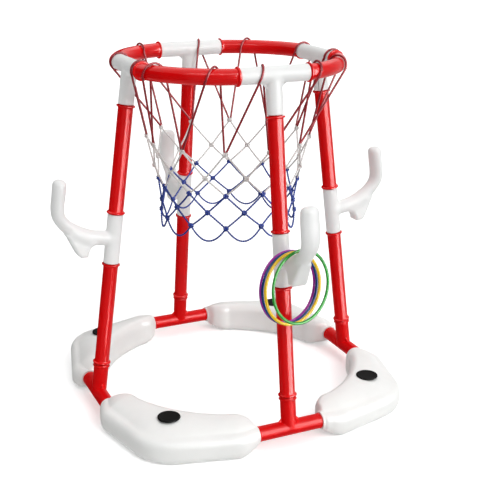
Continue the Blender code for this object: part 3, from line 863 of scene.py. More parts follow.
def surface_net(field: Field, low: Sequence[float], high: Sequence[float], step: float) -> Shell:
    """Mesh the surface where a field is zero.

    Args:
        field: Distance to the surface, negative inside.
        low: Lowest corner of the space that holds it.
        high: Highest corner of that space.
        step: Width of a cell.

    Returns:
        A closed shell of quads whose points lie on the surface.
    """
    low, high = np.asarray(low, float), np.asarray(high, float)
    counts = np.ceil((high - low) / step).astype(int) + 1
    axes = [low[i] + step * np.arange(counts[i]) for i in range(3)]
    grid = np.stack(np.meshgrid(*axes, indexing="ij"), -1)
    value = field(grid.reshape(-1, 3)).reshape(counts)
    inside = value < 0
    cells = tuple(counts - 1)
    total, hits = np.zeros((*cells, 3)), np.zeros(cells)
    crossings = []
    for axis in range(3):
        first = [slice(None)] * 3
        second = [slice(None)] * 3
        first[axis], second[axis] = slice(0, -1), slice(1, None)
        v0, v1 = value[tuple(first)], value[tuple(second)]
        crossed = np.argwhere(inside[tuple(first)] != inside[tuple(second)])
        index = tuple(crossed.T)
        share = v0[index] / (v0[index] - v1[index])
        spots = low + crossed * step
        spots[:, axis] += share * step
        u, w = (axis + 1) % 3, (axis + 2) % 3
        for du in (0, -1):
            for dw in (0, -1):
                cell = crossed.copy()
                cell[:, u] += du
                cell[:, w] += dw
                np.add.at(total, tuple(cell.T), spots)
                np.add.at(hits, tuple(cell.T), 1)
        crossings.append((axis, crossed, inside[tuple(first)][index]))
    used = hits > 0
    number = np.full(cells, -1)
    number[used] = np.arange(used.sum())
    points = total[used] / hits[used][:, None]
    faces = []
    for axis, crossed, starts_inside in crossings:
        u, w = (axis + 1) % 3, (axis + 2) % 3
        corners = []
        for du, dw in ((0, 0), (-1, 0), (-1, -1), (0, -1)):
            cell = crossed.copy()
            cell[:, u] += du
            cell[:, w] += dw
            corners.append(number[tuple(cell.T)])
        quads = np.stack(corners, 1)
        quads[~starts_inside] = quads[~starts_inside][:, ::-1]
        faces += quads.tolist()
    return Shell(settled(field, points, faces, step), [tuple(face) for face in faces])


def settled(field: Field, points: np.ndarray, faces: list, step: float) -> np.ndarray:
    """Even out a net's points and put them on the surface.

    Args:
        field: Distance to the surface.
        points: The net's points.
        faces: The net's quads.
        step: Width of a cell of the net.

    Returns:
        The moved points.
    """
    quads = np.array(faces)
    edges = np.vstack([quads[:, [i, (i + 1) % 4]] for i in range(4)])
    edges = np.unique(np.sort(edges, 1), axis=0)
    degree = np.bincount(edges.ravel(), minlength=len(points))[:, None]
    for round_number in range(SETTLE_ROUNDS):
        if round_number < EVEN_ROUNDS:
            total = np.zeros_like(points)
            np.add.at(total, edges[:, 0], points[edges[:, 1]])
            np.add.at(total, edges[:, 1], points[edges[:, 0]])
            points = points + (total / degree - points) * EVEN_SHARE
        reach = step * PROBE_SHARE
        slope = np.stack(
            [
                (field(points + reach * unit) - field(points - reach * unit)) / (2 * reach)
                for unit in np.eye(3)
            ],
            1,
        )
        steep = np.maximum((slope**2).sum(1), LEAST_SLOPE)
        move = slope * (field(points) / steep)[:, None]
        points = points - np.clip(move, -step, step)
    return points


# Fields


def melted(first: np.ndarray, second: np.ndarray, reach: float) -> np.ndarray:
    """Join two distances with a fillet.

    Args:
        first: Distance to one shape.
        second: Distance to the other.
        reach: Width of the fillet.

    Returns:
        Distance to both.
    """
    share = np.clip(0.5 + 0.5 * (second - first) / reach, 0.0, 1.0)
    return second + (first - second) * share - reach * share * (1 - share)


def cut(body: np.ndarray, tool: np.ndarray, edge: float) -> np.ndarray:
    """Cut one distance from another, with the edge of the cut rounded by a length."""
    return -melted(-body, tool, edge)


def rod(
    across: np.ndarray, along: np.ndarray, radius: float, low: float, high: float, edge: float
) -> np.ndarray:
    """Distance to a rod with rounded ends.

    Args:
        across: Distance of each point from the rod's axis.
        along: Place of each point along it.
        radius: The rod's radius.
        low: Where it starts.
        high: Where it ends.
        edge: Radius of its edges.

    Returns:
        The distances.
    """
    side = across - (radius - edge)
    end = np.abs(along - (low + high) / 2) - ((high - low) / 2 - edge)
    outside = np.hypot(np.maximum(side, 0), np.maximum(end, 0))
    return outside + np.minimum(np.maximum(side, end), 0) - edge


def plate(
    u: np.ndarray, w: np.ndarray, through: np.ndarray, corners: np.ndarray, half: float, edge: float
) -> np.ndarray:
    """Distance to a flat plate with a given outline and rounded edges.

    Args:
        u: First coordinate in the plate's plane.
        w: Second coordinate in the plate's plane.
        through: Coordinate across the plate, from its middle.
        corners: The outline's corners.
        half: Half the plate's thickness.
        edge: Radius of its edges.

    Returns:
        The distances.
    """
    nearest = np.full(len(u), np.inf)
    sign = np.ones(len(u))
    for i in range(len(corners)):
        ax, ay = corners[i]
        bx, by = corners[i - 1]
        ex, ey = bx - ax, by - ay
        wx, wy = u - ax, w - ay
        t = np.clip((wx * ex + wy * ey) / (ex * ex + ey * ey), 0, 1)
        nearest = np.minimum(nearest, (wx - ex * t) ** 2 + (wy - ey * t) ** 2)
        above, below = w >= ay, w < by
        left = ex * wy > ey * wx
        flip = (above & below & left) | (~above & ~below & ~left)
        sign = np.where(flip, -sign, sign)
    outline = sign * np.sqrt(nearest) + edge
    side = np.abs(through) - (half - edge)
    outside = np.hypot(np.maximum(outline, 0), np.maximum(side, 0))
    return outside + np.minimum(np.maximum(outline, side), 0) - edge


def sleeve_hollow(across: np.ndarray, along: np.ndarray, face: float) -> np.ndarray:
    """Distance to the hollow in a sleeve's open end.

    Args:
        across: Distance of each point from the sleeve's axis.
        along: Place of each point along it.
        face: Where the sleeve ends.

    Returns:
        The distances.
    """
    low = face - FIT.socket_depth
    return rod(across, along, FIT.socket_radius, low, face + OVERRUN, FIT.socket_edge)


@dataclass(frozen=True)
class Web:
    """A thin web in each crotch of a tee, from inside its run and its stem."""

    run_radius: float
    width: float
    near: float
    edge: float
    fillet: float
    half: float = 0.0014
    root: float = 0.004

    def field(
        self, along_run: np.ndarray, along_stem: np.ndarray, across: np.ndarray
    ) -> np.ndarray:
        """Distance to the two webs.

        Args:
            along_run: Place of each point along the run, from the stem.
            along_stem: Place of each point along the stem, from the run.
            across: Distance of each point from the plane of both.

        Returns:
            The distances.
        """
        reach = self.run_radius + self.width
        corners = [(self.root, self.root), (reach, self.root), (reach, self.near)]
        corners += [(self.near, reach), (self.root, reach)]
        side = np.abs(along_run)
        return plate(side, along_stem, across, np.array(corners), self.half, self.edge)


def bar(points: np.ndarray, spine: np.ndarray, radii: np.ndarray) -> np.ndarray:
    """Distance to a bar of changing radius along a spine.

    Args:
        points: The points.
        spine: The spine's points.
        radii: The bar's radius at each.

    Returns:
        The distances.
    """
    nearest = np.full(len(points), np.inf)
    for a, b, ra, rb in zip(spine, spine[1:], radii, radii[1:]):
        step = b - a
        t = np.clip((points - a) @ step / step.dot(step), 0, 1)
        gap = np.linalg.norm(points - a - t[:, None] * step, axis=1)
        nearest = np.minimum(nearest, gap - (ra + (rb - ra) * t))
    return nearest


def eased(values: np.ndarray, parts: int) -> np.ndarray:
    """Run a smooth line through points.

    Args:
        values: The points, or points with more values each.
        parts: Number of steps between two of them.

    Returns:
        The finer points.
    """
    padded = np.vstack((2 * values[0] - values[1], values, 2 * values[-1] - values[-2]))
    out = []
    for i in range(1, len(padded) - 2):
        p0, p1, p2, p3 = padded[i - 1 : i + 3]
        for k in range(parts):
            t = k / parts
            out.append(
                0.5
                * (
                    2 * p1
                    + (p2 - p0) * t
                    + (2 * p0 - 5 * p1 + 4 * p2 - p3) * t**2
                    + (3 * p1 - p0 - 3 * p2 + p3) * t**3
                )
            )
    out.append(values[-1])
    return np.array(out)


def carved(mesh: bpy.types.Mesh, tools: Sequence[tuple[Shell, Matrix]]) -> bpy.types.Mesh:
    """Cut solids out of a mesh.

    Args:
        mesh: The blank.
        tools: Each cutting solid with its place.

    Returns:
        The carved mesh, with the cuts' edges kept sharp.
    """
    blank = new_object("blank", mesh)
    cutters = []
    for shell, place in tools:
        cutter = new_object("cutter", shell.mesh("cutter"))
        cutter.matrix_world = place
        step = blank.modifiers.new("cut", "BOOLEAN")
        step.operation = "DIFFERENCE"
        step.solver = "EXACT"
        step.object = cutter
        cutters.append(cutter)
    bpy.context.view_layer.update()
    graph = bpy.context.evaluated_depsgraph_get()
    made = bpy.data.meshes.new_from_object(blank.evaluated_get(graph))
    for item in (blank, *cutters):
        bpy.data.objects.remove(item, do_unlink=True)
    made.shade_smooth()
    made.set_sharp_from_angle(angle=math.radians(SHARP_DEG))
    made.materials.clear()
    return made


# Pieces


def put(
    name: str,
    mesh: bpy.types.Mesh,
    material: bpy.types.Material,
    place: Matrix,
    body: str,
    nodes: Sequence[str],
) -> bpy.types.Object:
    """Put a piece in its place for one or more solids of the model.

    Args:
        name: The piece's name.
        mesh: Its mesh, which others may share.
        material: Its material.
        place: Its frame.
        body: The body that it rides on.
        nodes: The solids that it stands for.

    Returns:
        The object.
    """
    made = new_object(name, mesh)
    if not mesh.materials:
        mesh.materials.append(material)
    made.matrix_world = place
    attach(made, body)
    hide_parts(*nodes)
    LOG.info("%s: %d faces", name, len(mesh.polygons))
    return made


def put_all(
    ending: str,
    mesh: bpy.types.Mesh,
    material: bpy.types.Material,
    places: dict[str, Matrix],
) -> None:
    """Put the same piece in its place for each of several solids of the frame.

    Args:
        ending: Last word of the pieces' names.
        mesh: Their mesh.
        material: Their material.
        places: A frame by each solid's name.
    """
    for node, place in places.items():
        put(f"{node}_{ending}", mesh, material, place, "frame", [node])


@dataclass
class LegTube:
    """A drawn tube with a flared collar and a plug at each end."""

    length: float = STANCE.tube_length

    def shell(self) -> Shell:
        """Turn the tube's outline, from its lower sleeve's face up.

        Returns:
            The tube.
        """
        reach = FIT.plug_length - FIT.seam / 2
        lower = FIT.tube_end(reach)
        upper = [(radius, self.length - z, size) for radius, z, size in lower]
        bore = [
            (FIT.bore_radius, -reach, FIT.bore_edge),
            (FIT.bore_radius, self.length + reach, FIT.bore_edge),
        ]
        return turned(softened(upper + lower[::-1] + bore))

    def build(self) -> None:
        """Make the eight leg tubes."""
        levels = {
            "lower_tube": STANCE.base_stem,
            "upper_tube": STANCE.coupler_place + STANCE.coupler_length / 2,
        }
        places = {
            f"{tube}_{leg}": STANCE.leg_frame(turn, along)
            for leg, turn in LEGS.items()
            for tube, along in levels.items()
        }
        mesh = self.shell().mesh("leg_tube")
        put_all("drawn", mesh, TUBE_RED.material(), places)


@dataclass
class RimTee:
    """A white tee of the rim: an open sleeve along Y with a stem that points down the leg."""

    stem_radius: float = 0.0123
    edge: float = 0.0007
    fillet: float = 0.0035
    web: Web = Web(
        run_radius=FIT.sleeve_radius, width=0.0080, near=0.0115, edge=0.0006, fillet=0.0016
    )
    mouth: float = 0.0005
    room: float = 0.004
    step: float = 0.0011

    def field(self, points: np.ndarray) -> np.ndarray:
        """Distance to the tee.

        Args:
            points: The points, in the tee's own frame.

        Returns:
            The distances.
        """
        x, y, z = points.T
        half = STANCE.rim_run / 2
        stem_end = STANCE.rim_stem - FIT.seam / 2
        run = rod(np.hypot(x, z), y, FIT.sleeve_radius, -half, half, self.edge)
        stem = rod(np.hypot(x, y), -z, self.stem_radius, 0.0, stem_end, self.edge)
        body = melted(run, stem, self.fillet)
        body = melted(body, self.web.field(y, -z, x), self.web.fillet)
        sides = sleeve_hollow(np.hypot(x, z), np.abs(y), half)
        lower = sleeve_hollow(np.hypot(x, y), -z, stem_end)
        return cut(body, np.minimum(sides, lower), self.mouth)

    def build(self) -> None:
        """Make the four rim tees."""
        wide = FIT.sleeve_radius + self.room
        half = STANCE.rim_run / 2 + MARGIN
        low = (-wide, -half, -STANCE.rim_stem - MARGIN)
        mesh = surface_net(self.field, low, (wide, half, wide), self.step).mesh("rim_tee")
        places = STANCE.leg_frames("rim_tee", STANCE.leg_length)
        put_all("moulded", mesh, MOULD_WHITE.material(), places)


@dataclass
class BaseTee:
    """A red base tee: a run along Y between two floats, and a stem up the leg."""

    stem_radius: float = 0.0123
    plug_length: float = 0.025
    plug_root: float = 0.004
    plug_edge: float = 0.0008
    edge: float = 0.0005
    fillet: float = 0.0009
    web: Web = Web(
        run_radius=FIT.tube_radius, width=0.0072, near=0.0112, edge=0.0005, fillet=0.0006
    )
    collar_radius: float = 0.0124
    collar_edge: float = 0.0004
    collar_fillet: float = 0.0008
    flange_radius: float = 0.0142
    flange_length: float = 0.0014
    flange_drop: float = 0.0032
    flange_edge: float = 0.0005
    flange_fillet: float = 0.0006
    mouth: float = 0.0005
    step: float = 0.0010

    def field(self, points: np.ndarray) -> np.ndarray:
        """Distance to the tee.

        Args:
            points: The points, in the tee's own frame.

        Returns:
            The distances.
        """
        x, y, z = points.T
        half = STANCE.base_run / 2
        stem_end = STANCE.base_stem - FIT.seam / 2
        off_run, off_stem, side = np.hypot(x, z), np.hypot(x, y), np.abs(y)
        run = rod(off_run, y, FIT.tube_radius, -half, half, self.edge)
        stem = rod(off_stem, z, self.stem_radius, 0.0, stem_end, self.edge)
        body = melted(run, stem, self.fillet)
        body = melted(body, self.web.field(y, z, x), self.web.fillet)
        start = half - FIT.collar_length
        collar = rod(off_run, side, self.collar_radius, start, half, self.collar_edge)
        body = melted(body, collar, self.collar_fillet)
        ledge = stem_end - self.flange_drop
        start = ledge - self.flange_length
        flange = rod(off_stem, z, self.flange_radius, start, ledge, self.flange_edge)
        body = melted(body, flange, self.flange_fillet)
        start, end = half - self.plug_root, half + self.plug_length
        plug = rod(off_run, side, FIT.plug_radius, start, end, self.plug_edge)
        body = np.minimum(body, plug)
        return cut(body, sleeve_hollow(off_stem, z, stem_end), self.mouth)

    def build(self) -> None:
        """Make the four base tees."""
        wide = self.flange_radius + MARGIN
        half = STANCE.base_run / 2 + self.plug_length + MARGIN
        high = (wide, half, STANCE.base_stem + MARGIN)
        mesh = surface_net(self.field, (-wide, -half, -wide), high, self.step).mesh("base_tee")
        places = STANCE.leg_frames("base_tee", 0.0)
        put_all("moulded", mesh, SATIN_RED.material(), places)


@dataclass
class Hook:
    """A white coupler with its arm, upturned tine and spur, in the leg's frame.

    The tine ends flat, with rounded edges.
    """

    reach: float = 0.107
    rise: float = 0.093
    radius: float = 0.0120
    arm_fillet: float = 0.004
    spur_fillet: float = 0.007
    spur_half: float = 0.0138
    spur_edge: float = 0.0055
    # How much thinner the spur is at its top, and the heights between which it thins upwards
    spur_taper: float = 1.3
    spur_taper_low: float = -0.028
    spur_taper_high: float = 0.004
    # Height of the tine's flat end
    tip: float = 0.0940
    tip_edge: float = 0.0095
    sleeve_edge: float = 0.0006
    bore_radius: float = 0.0111
    mouth_widening: float = 0.0004
    mouth_straight: float = 0.0002
    mouth_depth: float = 0.0008
    # The space that holds the coupler: half its width, and its room past the tine and above it
    half_width: float = 0.018
    outer_room: float = 0.004
    upper_room: float = 0.006
    step: float = 0.0012
    line_parts: int = 4
    # Height up the tine as a share of the rise, and how much wider than thick the bar is there
    width_shares: tuple = (
        (0.0, 1.0),
        (0.17, 1.0),
        (0.34, 1.3),
        (0.57, 1.45),
        (0.73, 1.4),
        (1.0, 1.26),
    )
    # Outwards, up and radius of the bar, as shares of the reach, the rise and the radius
    arm_shares: tuple = (
        (0.030, 0.005, 1.00),
        (0.280, 0.013, 1.00),
        (0.430, 0.040, 1.00),
        (0.580, 0.100, 0.98),
        (0.710, 0.183, 0.90),
        (0.813, 0.285, 0.85),
        (0.879, 0.409, 0.86),
        (0.897, 0.570, 0.86),
        (0.893, 0.731, 0.88),
        (0.893, 0.860, 0.90),
        (0.892, 1.000, 0.90),
    )
    # Outwards and up of the spur's outline, as shares of the reach and the rise
    spur_shares: tuple = (
        (0.290, -0.060),
        (0.352, -0.150),
        (0.385, -0.250),
        (0.390, -0.312),
        (0.500, -0.324),
        (0.552, -0.285),
        (0.612, -0.180),
        (0.680, -0.060),
        (0.740, 0.060),
        (0.600, 0.120),
        (0.400, 0.020),
    )

    @property
    def half_length(self) -> float:
        """Half the sleeve's length."""
        return STANCE.coupler_length / 2 - FIT.seam / 2

    def arm_field(self, x: np.ndarray, y: np.ndarray, z: np.ndarray) -> np.ndarray:
        """Distance to the arm and its tine.

        Args:
            x: Place of each point outwards.
            y: Place of each point sideways.
            z: Place of each point up the leg.

        Returns:
            The distances.
        """
        line = eased(np.array(self.arm_shares), self.line_parts)
        spine = np.stack(
            (line[:, 0] * self.reach, np.zeros(len(line)), line[:, 1] * self.rise), 1
        )
        heights, widths = np.array(self.width_shares).T
        narrowed = np.stack((x, y / np.interp(z, heights * self.rise, widths), z), 1)
        arm = bar(narrowed, spine, line[:, 2] * self.radius)
        return cut(arm, self.tip - z, self.tip_edge)

    def spur_field(self, x: np.ndarray, y: np.ndarray, z: np.ndarray) -> np.ndarray:
        """Distance to the spur.

        Args:
            x: Place of each point outwards.
            y: Place of each point sideways.
            z: Place of each point up the leg.

        Returns:
            The distances.
        """
        outline = np.array(self.spur_shares) * (self.reach, self.rise)
        heights = (self.spur_taper_low, self.spur_taper_high)
        narrowing = np.interp(z, heights, (1.0, self.spur_taper))
        return plate(x, z, y * narrowing, outline, self.spur_half, self.spur_edge)

    def field(self, points: np.ndarray) -> np.ndarray:
        """Distance to the coupler.

        Args:
            points: The points, in the coupler's own frame.

        Returns:
            The distances.
        """
        x, y, z = points.T
        half = self.half_length
        sleeve = rod(np.hypot(x, y), z, FIT.sleeve_radius, -half, half, self.sleeve_edge)
        body = melted(sleeve, self.arm_field(x, y, z), self.arm_fillet)
        return melted(body, self.spur_field(x, y, z), self.spur_fillet)

    def bore(self) -> Shell:
        """Turn the solid that cuts the sleeve's bore, with its mouths eased.

        Returns:
            The solid.
        """
        half, mouth = self.half_length, self.bore_radius + self.mouth_widening
        upper = [
            (0.0, half + OVERRUN),
            (mouth, half + OVERRUN),
            (mouth, half - self.mouth_straight),
            (self.bore_radius, half - self.mouth_depth),
        ]
        return turned(upper + [(radius, -height) for radius, height in reversed(upper)])

    def build(self) -> None:
        """Make the four couplers."""
        side = self.half_width
        low = (-side, -side, -STANCE.coupler_length / 2 - MARGIN)
        high = (self.reach + self.outer_room, side, self.rise + self.upper_room)
        blank = surface_net(self.field, low, high, self.step).mesh("hook_blank")
        mesh = carved(blank, [(self.bore(), Matrix.Identity(4))])
        material = MOULD_WHITE.material()
        for leg, turn in LEGS.items():
            node = f"hook_{leg}"
            placed = mesh.copy()
            placed.transform(STANCE.leg_frame(turn, STANCE.coupler_place))
            body, still = f"{leg}_hook", Matrix.Identity(4)
            put(f"{node}_moulded", placed, material, still, body, [node])


@dataclass
class RimArc:
    """A red bent tube of the rim, with a collar and a plug at each end."""

    sides: int = 64
    bend_steps: int = 56

    @property
    def bend(self) -> float:
        """Length of the centreline from sleeve to sleeve.

        Returns:
            The length.
        """
        (_, short), (_, long) = STANCE.rim_bends
        turn = STANCE.rim_end_bend
        return 2 * short * turn + long * (math.pi / 2 - 2 * turn)

    def spot(self, travel: float) -> tuple[Vector, Vector]:
        """Point and direction on the centreline.

        Args:
            travel: Distance from the right leg's sleeve round the bend.

        Returns:
            The point and the direction.
        """
        if travel > self.bend / 2:
            point, way = self.spot(self.bend - travel)
            return Vector((point.y, point.x, point.z)), Vector((-way.y, -way.x, 0))
        if travel <= 0:
            start = STANCE.rim_run / 2 + travel
            return Vector((STANCE.rim_half_width, start, STANCE.rim_height)), Vector((0, 1, 0))
        (middle, radius), long_bend = STANCE.rim_bends
        angle = travel / radius
        if angle > STANCE.rim_end_bend:
            beyond = travel - radius * STANCE.rim_end_bend
            middle, radius = long_bend
            angle = STANCE.rim_end_bend + beyond / radius
        point = Vector((math.cos(angle), math.sin(angle), 0)) * radius
        return middle + point, Vector((-math.sin(angle), math.cos(angle), 0))

    def shell(self) -> Shell:
        """Sweep the tube's outline round the bend.

        Returns:
            The tube.
        """
        bend = self.bend
        centre = [(FIT.tube_radius, bend / 2, 0.0), (0.0, bend / 2, 0.0)]
        near = softened(FIT.tube_end(FIT.plug_length) + centre)[: -len(centre)]
        last = near[-1][1]
        middle = [
            (FIT.tube_radius, last + (bend - 2 * last) * i / self.bend_steps)
            for i in range(1, self.bend_steps)
        ]
        stations = near + middle + [(radius, bend - travel) for radius, travel in reversed(near)]
        spots = [self.spot(travel) for _, travel in stations]
        centres = np.array([tuple(point) for point, _ in spots])
        tangents = np.array([tuple(way) for _, way in spots])
        radii = np.array([radius for radius, _ in stations])
        return swept(centres, radii, self.sides, tangents=tangents)

    def build(self) -> None:
        """Make the four corner tubes."""
        mesh = self.shell().mesh("rim_arc")
        places = STANCE.corner_frames("rim_arc")
        put_all("bent", mesh, MOULD_RED.material(), places)


@dataclass
class Pontoon:
    """A blown float that bends round a corner between two base tees."""

    inner_radius: float = 0.216
    flank_lean_deg: float = 14.0
    shoulder: float = 0.090
    shoulder_outside: float = 0.0225
    corner_radius: float = 0.074
    end_radius: float = 0.0142
    edge_radius: float = 0.014
    top_inside: float = 0.0548
    top_outside: float = 0.0410
    # Share of the way in from the outer edge, and of the rise to the inner one
    crown_shares: tuple = ((0.0, 0.0), (0.2, 0.42), (0.42, 0.74), (0.68, 0.94), (1.0, 1.0))
    # Share of the way to the shoulder, and what is left there of the change of the inner side and
    # the top, and of the outer side and the bottom
    taper_shares: tuple = (
        (0.0, 1.0, 1.0),
        (0.08, 0.92, 0.95),
        (0.16, 0.58, 0.74),
        (0.24, 0.40, 0.64),
        (0.38, 0.25, 0.50),
        (0.54, 0.12, 0.27),
        (0.76, 0.03, 0.10),
        (1.0, 0.0, 0.0),
    )
    taper_parts: int = 8
    stations: int = 56
    easing_rounds: int = 6
    edge_steps: int = 7
    crown_parts: int = 6
    crown_steps: int = 14
    bottom_steps: int = 8
    side_steps: int = 6
    socket_depth: float = 0.027
    hole_depth: float = 0.030
    hole_edge: float = 0.0004

    @property
    def inside(self) -> float:
        """How far out the inner side of the shoulder is."""
        return math.sqrt(self.inner_radius**2 - self.shoulder**2)

    @property
    def outside(self) -> float:
        """How far out the outer side of the shoulder is."""
        return STANCE.base_half_width + self.shoulder_outside

    def end_stations(self) -> list:
        """Lay out the float's end seen from above, from its face to its shoulder.

        Returns:
            Inner point, outer point, bottom, inner top, outer top and edge of each station.
        """
        start = STANCE.base_run / 2 + FIT.seam
        axis, height = STANCE.base_half_width, STANCE.base_height
        top = height + self.end_radius
        stations = []
        for way, inwards, outwards in eased(np.array(self.taper_shares), self.taper_parts)[:-1]:
            along = start + (self.shoulder - start) * way
            stations.append(
                (
                    along,
                    self.inside + (axis - self.end_radius - self.inside) * inwards,
                    along,
                    self.outside + (axis + self.end_radius - self.outside) * outwards,
                    (height - self.end_radius) * max(outwards, 0.0),
                    self.top_inside + (top - self.top_inside) * inwards,
                    self.top_outside + (top - self.top_outside) * outwards,
                    self.edge_radius + (self.end_radius - self.edge_radius) * outwards,
                )
            )
        return stations

    def bend_stations(self) -> list:
        """Lay out the float seen from above, from its shoulder to the middle of its bend.

        Returns:
            The same of each station as for the end.
        """
        lean = math.radians(self.flank_lean_deg)
        meet = (self.outside + math.tan(lean) * self.shoulder) / (1 + math.tan(lean))
        spread = math.pi / 4 - lean
        centre = meet - self.corner_radius / math.cos(spread) / math.sqrt(2)
        flank = centre + self.corner_radius * math.cos(math.pi / 4 + spread) - self.shoulder
        flank_length = flank / math.cos(lean)
        bend_length = self.corner_radius * spread
        first_angle = math.asin(self.shoulder / self.inner_radius)
        heights = (0.0, self.top_inside, self.top_outside, self.edge_radius)
        stations = []
        for i in range(self.stations + 1):
            t = i / self.stations
            angle = first_angle + (math.pi / 4 - first_angle) * t
            inner = (self.inner_radius * math.sin(angle), self.inner_radius * math.cos(angle))
            travel = (flank_length + bend_length) * t
            if travel < flank_length:
                along = self.shoulder + flank * travel / flank_length
                outer = (along, self.outside - math.tan(lean) * (along - self.shoulder))
            else:
                turn = math.pi / 4 + spread - (travel - flank_length) / self.corner_radius
                outer = (
                    centre + self.corner_radius * math.cos(turn),
                    centre + self.corner_radius * math.sin(turn),
                )
            stations.append((*inner, *outer, *heights))
        return stations

    def full_outlines(self) -> np.ndarray:
        """Return the stations from one end to the other, with their turns eased.

        Returns:
            The stations, as rows.
        """
        half = np.array(self.end_stations() + self.bend_stations())
        # The other half is the same with X and Y swapped
        mirrored = half[:-1][::-1][:, [1, 0, 3, 2, 4, 5, 6, 7]]
        rows = np.vstack((half, mirrored))
        for _ in range(self.easing_rounds):
            middle = (rows[:-2] + rows[2:]) / 2
            rows[1:-1] += (middle - rows[1:-1]) * EVEN_SHARE
        return rows

    def ring(self, row: np.ndarray) -> np.ndarray:
        """Points of one upright section.

        Args:
            row: The section's station.

        Returns:
            The points, round the section.
        """
        inner, outer = row[0:2], row[2:4]
        bottom, top_inner, top_outer, edge = row[4:]
        width = np.linalg.norm(outer - inner)
        across = (outer - inner) / width
        edge = min(edge, width / 2, (top_outer - bottom) / 2)
        corners = (
            (edge, bottom + edge, 180.0),
            (width - edge, bottom + edge, 270.0),
            (width - edge, top_outer - edge, 0.0),
            (edge, top_inner - edge, 90.0),
        )
        arcs = []
        for along, height, start in corners:
            turns = np.radians(start + np.linspace(0, 90, self.edge_steps))
            arcs.append(
                [(along + edge * math.cos(t), height + edge * math.sin(t)) for t in turns]
            )
        section = [
            *arcs[0],
            *self.run(arcs[0][-1], arcs[1][0], self.bottom_steps),
            *arcs[1],
            *self.run(arcs[1][-1], arcs[2][0], self.side_steps),
            *arcs[2],
            *self.crown_run(arcs[2][-1], arcs[3][0]),
            *arcs[3],
            *self.run(arcs[3][-1], arcs[0][0], self.side_steps),
        ]
        return np.array([(*(inner + across * u), v) for u, v in section])

    def crown_run(self, start: tuple, end: tuple) -> list:
        """List the points of a section's top, from its outer edge to its inner one.

        Args:
            start: The end of the outer edge's rounding.
            end: The start of the inner edge's rounding.

        Returns:
            The points between them.
        """
        fine = eased(np.array(self.crown_shares), self.crown_parts)
        ways = np.arange(1, self.crown_steps) / self.crown_steps
        lifts = np.interp(ways, fine[:, 0], np.clip(fine[:, 1], 0, 1))
        (u, v), (end_u, end_v) = start, end
        return [(u + (end_u - u) * way, v + (end_v - v) * lift) for way, lift in zip(ways, lifts)]

    def run(self, start: tuple, end: tuple, steps: int) -> list:
        """List the points between two corners of a section."""
        a, b = np.array(start), np.array(end)
        return [tuple(a + (b - a) * k / steps) for k in range(1, steps)]

    def shell(self) -> Shell:
        """Loft the float through its sections.

        Returns:
            The float, without its holes.
        """
        rings = [self.ring(row) for row in self.full_outlines()]
        columns = len(rings[0])
        faces = grid_faces(len(rings), columns, False)
        faces.append(tuple(reversed(range(columns))))
        faces.append(tuple(range((len(rings) - 1) * columns, len(rings) * columns)))
        return Shell(np.vstack(rings), faces)

    def build(self, plug: "FillerPlug") -> None:
        """Make the four floats.

        Args:
            plug: The filler plug, which gives the hole its size.
        """
        face = STANCE.base_run / 2
        spin_x = Matrix.Rotation(math.pi / 2, 4, "Y")
        spin_y = Matrix.Rotation(-math.pi / 2, 4, "X")
        axis, height = STANCE.base_half_width, STANCE.base_height
        radius, depth, edge = FIT.socket_radius, self.socket_depth, self.hole_edge
        end_hole = turned([(0.0, depth), (radius, depth), (radius, -OVERRUN), (0.0, -OVERRUN)])
        outline = [
            (0.0, OVERRUN, 0.0),
            (plug.seat_radius, OVERRUN, 0.0),
            (plug.seat_radius, -plug.seat_depth, edge),
            (plug.hole_radius, -plug.seat_depth, edge),
            (plug.hole_radius, -self.hole_depth, 0.0),
            (0.0, -self.hole_depth, 0.0),
        ]
        tools = (
            (end_hole, Matrix.Translation((face, axis, height)) @ spin_x),
            (end_hole, Matrix.Translation((axis, face, height)) @ spin_y),
            (turned(softened(outline)), plug.frame()),
        )
        made = carved(self.shell().mesh("float_blank"), tools)
        places = STANCE.corner_frames("float")
        put_all("blown", made, BLOWN_WHITE.material(), places)


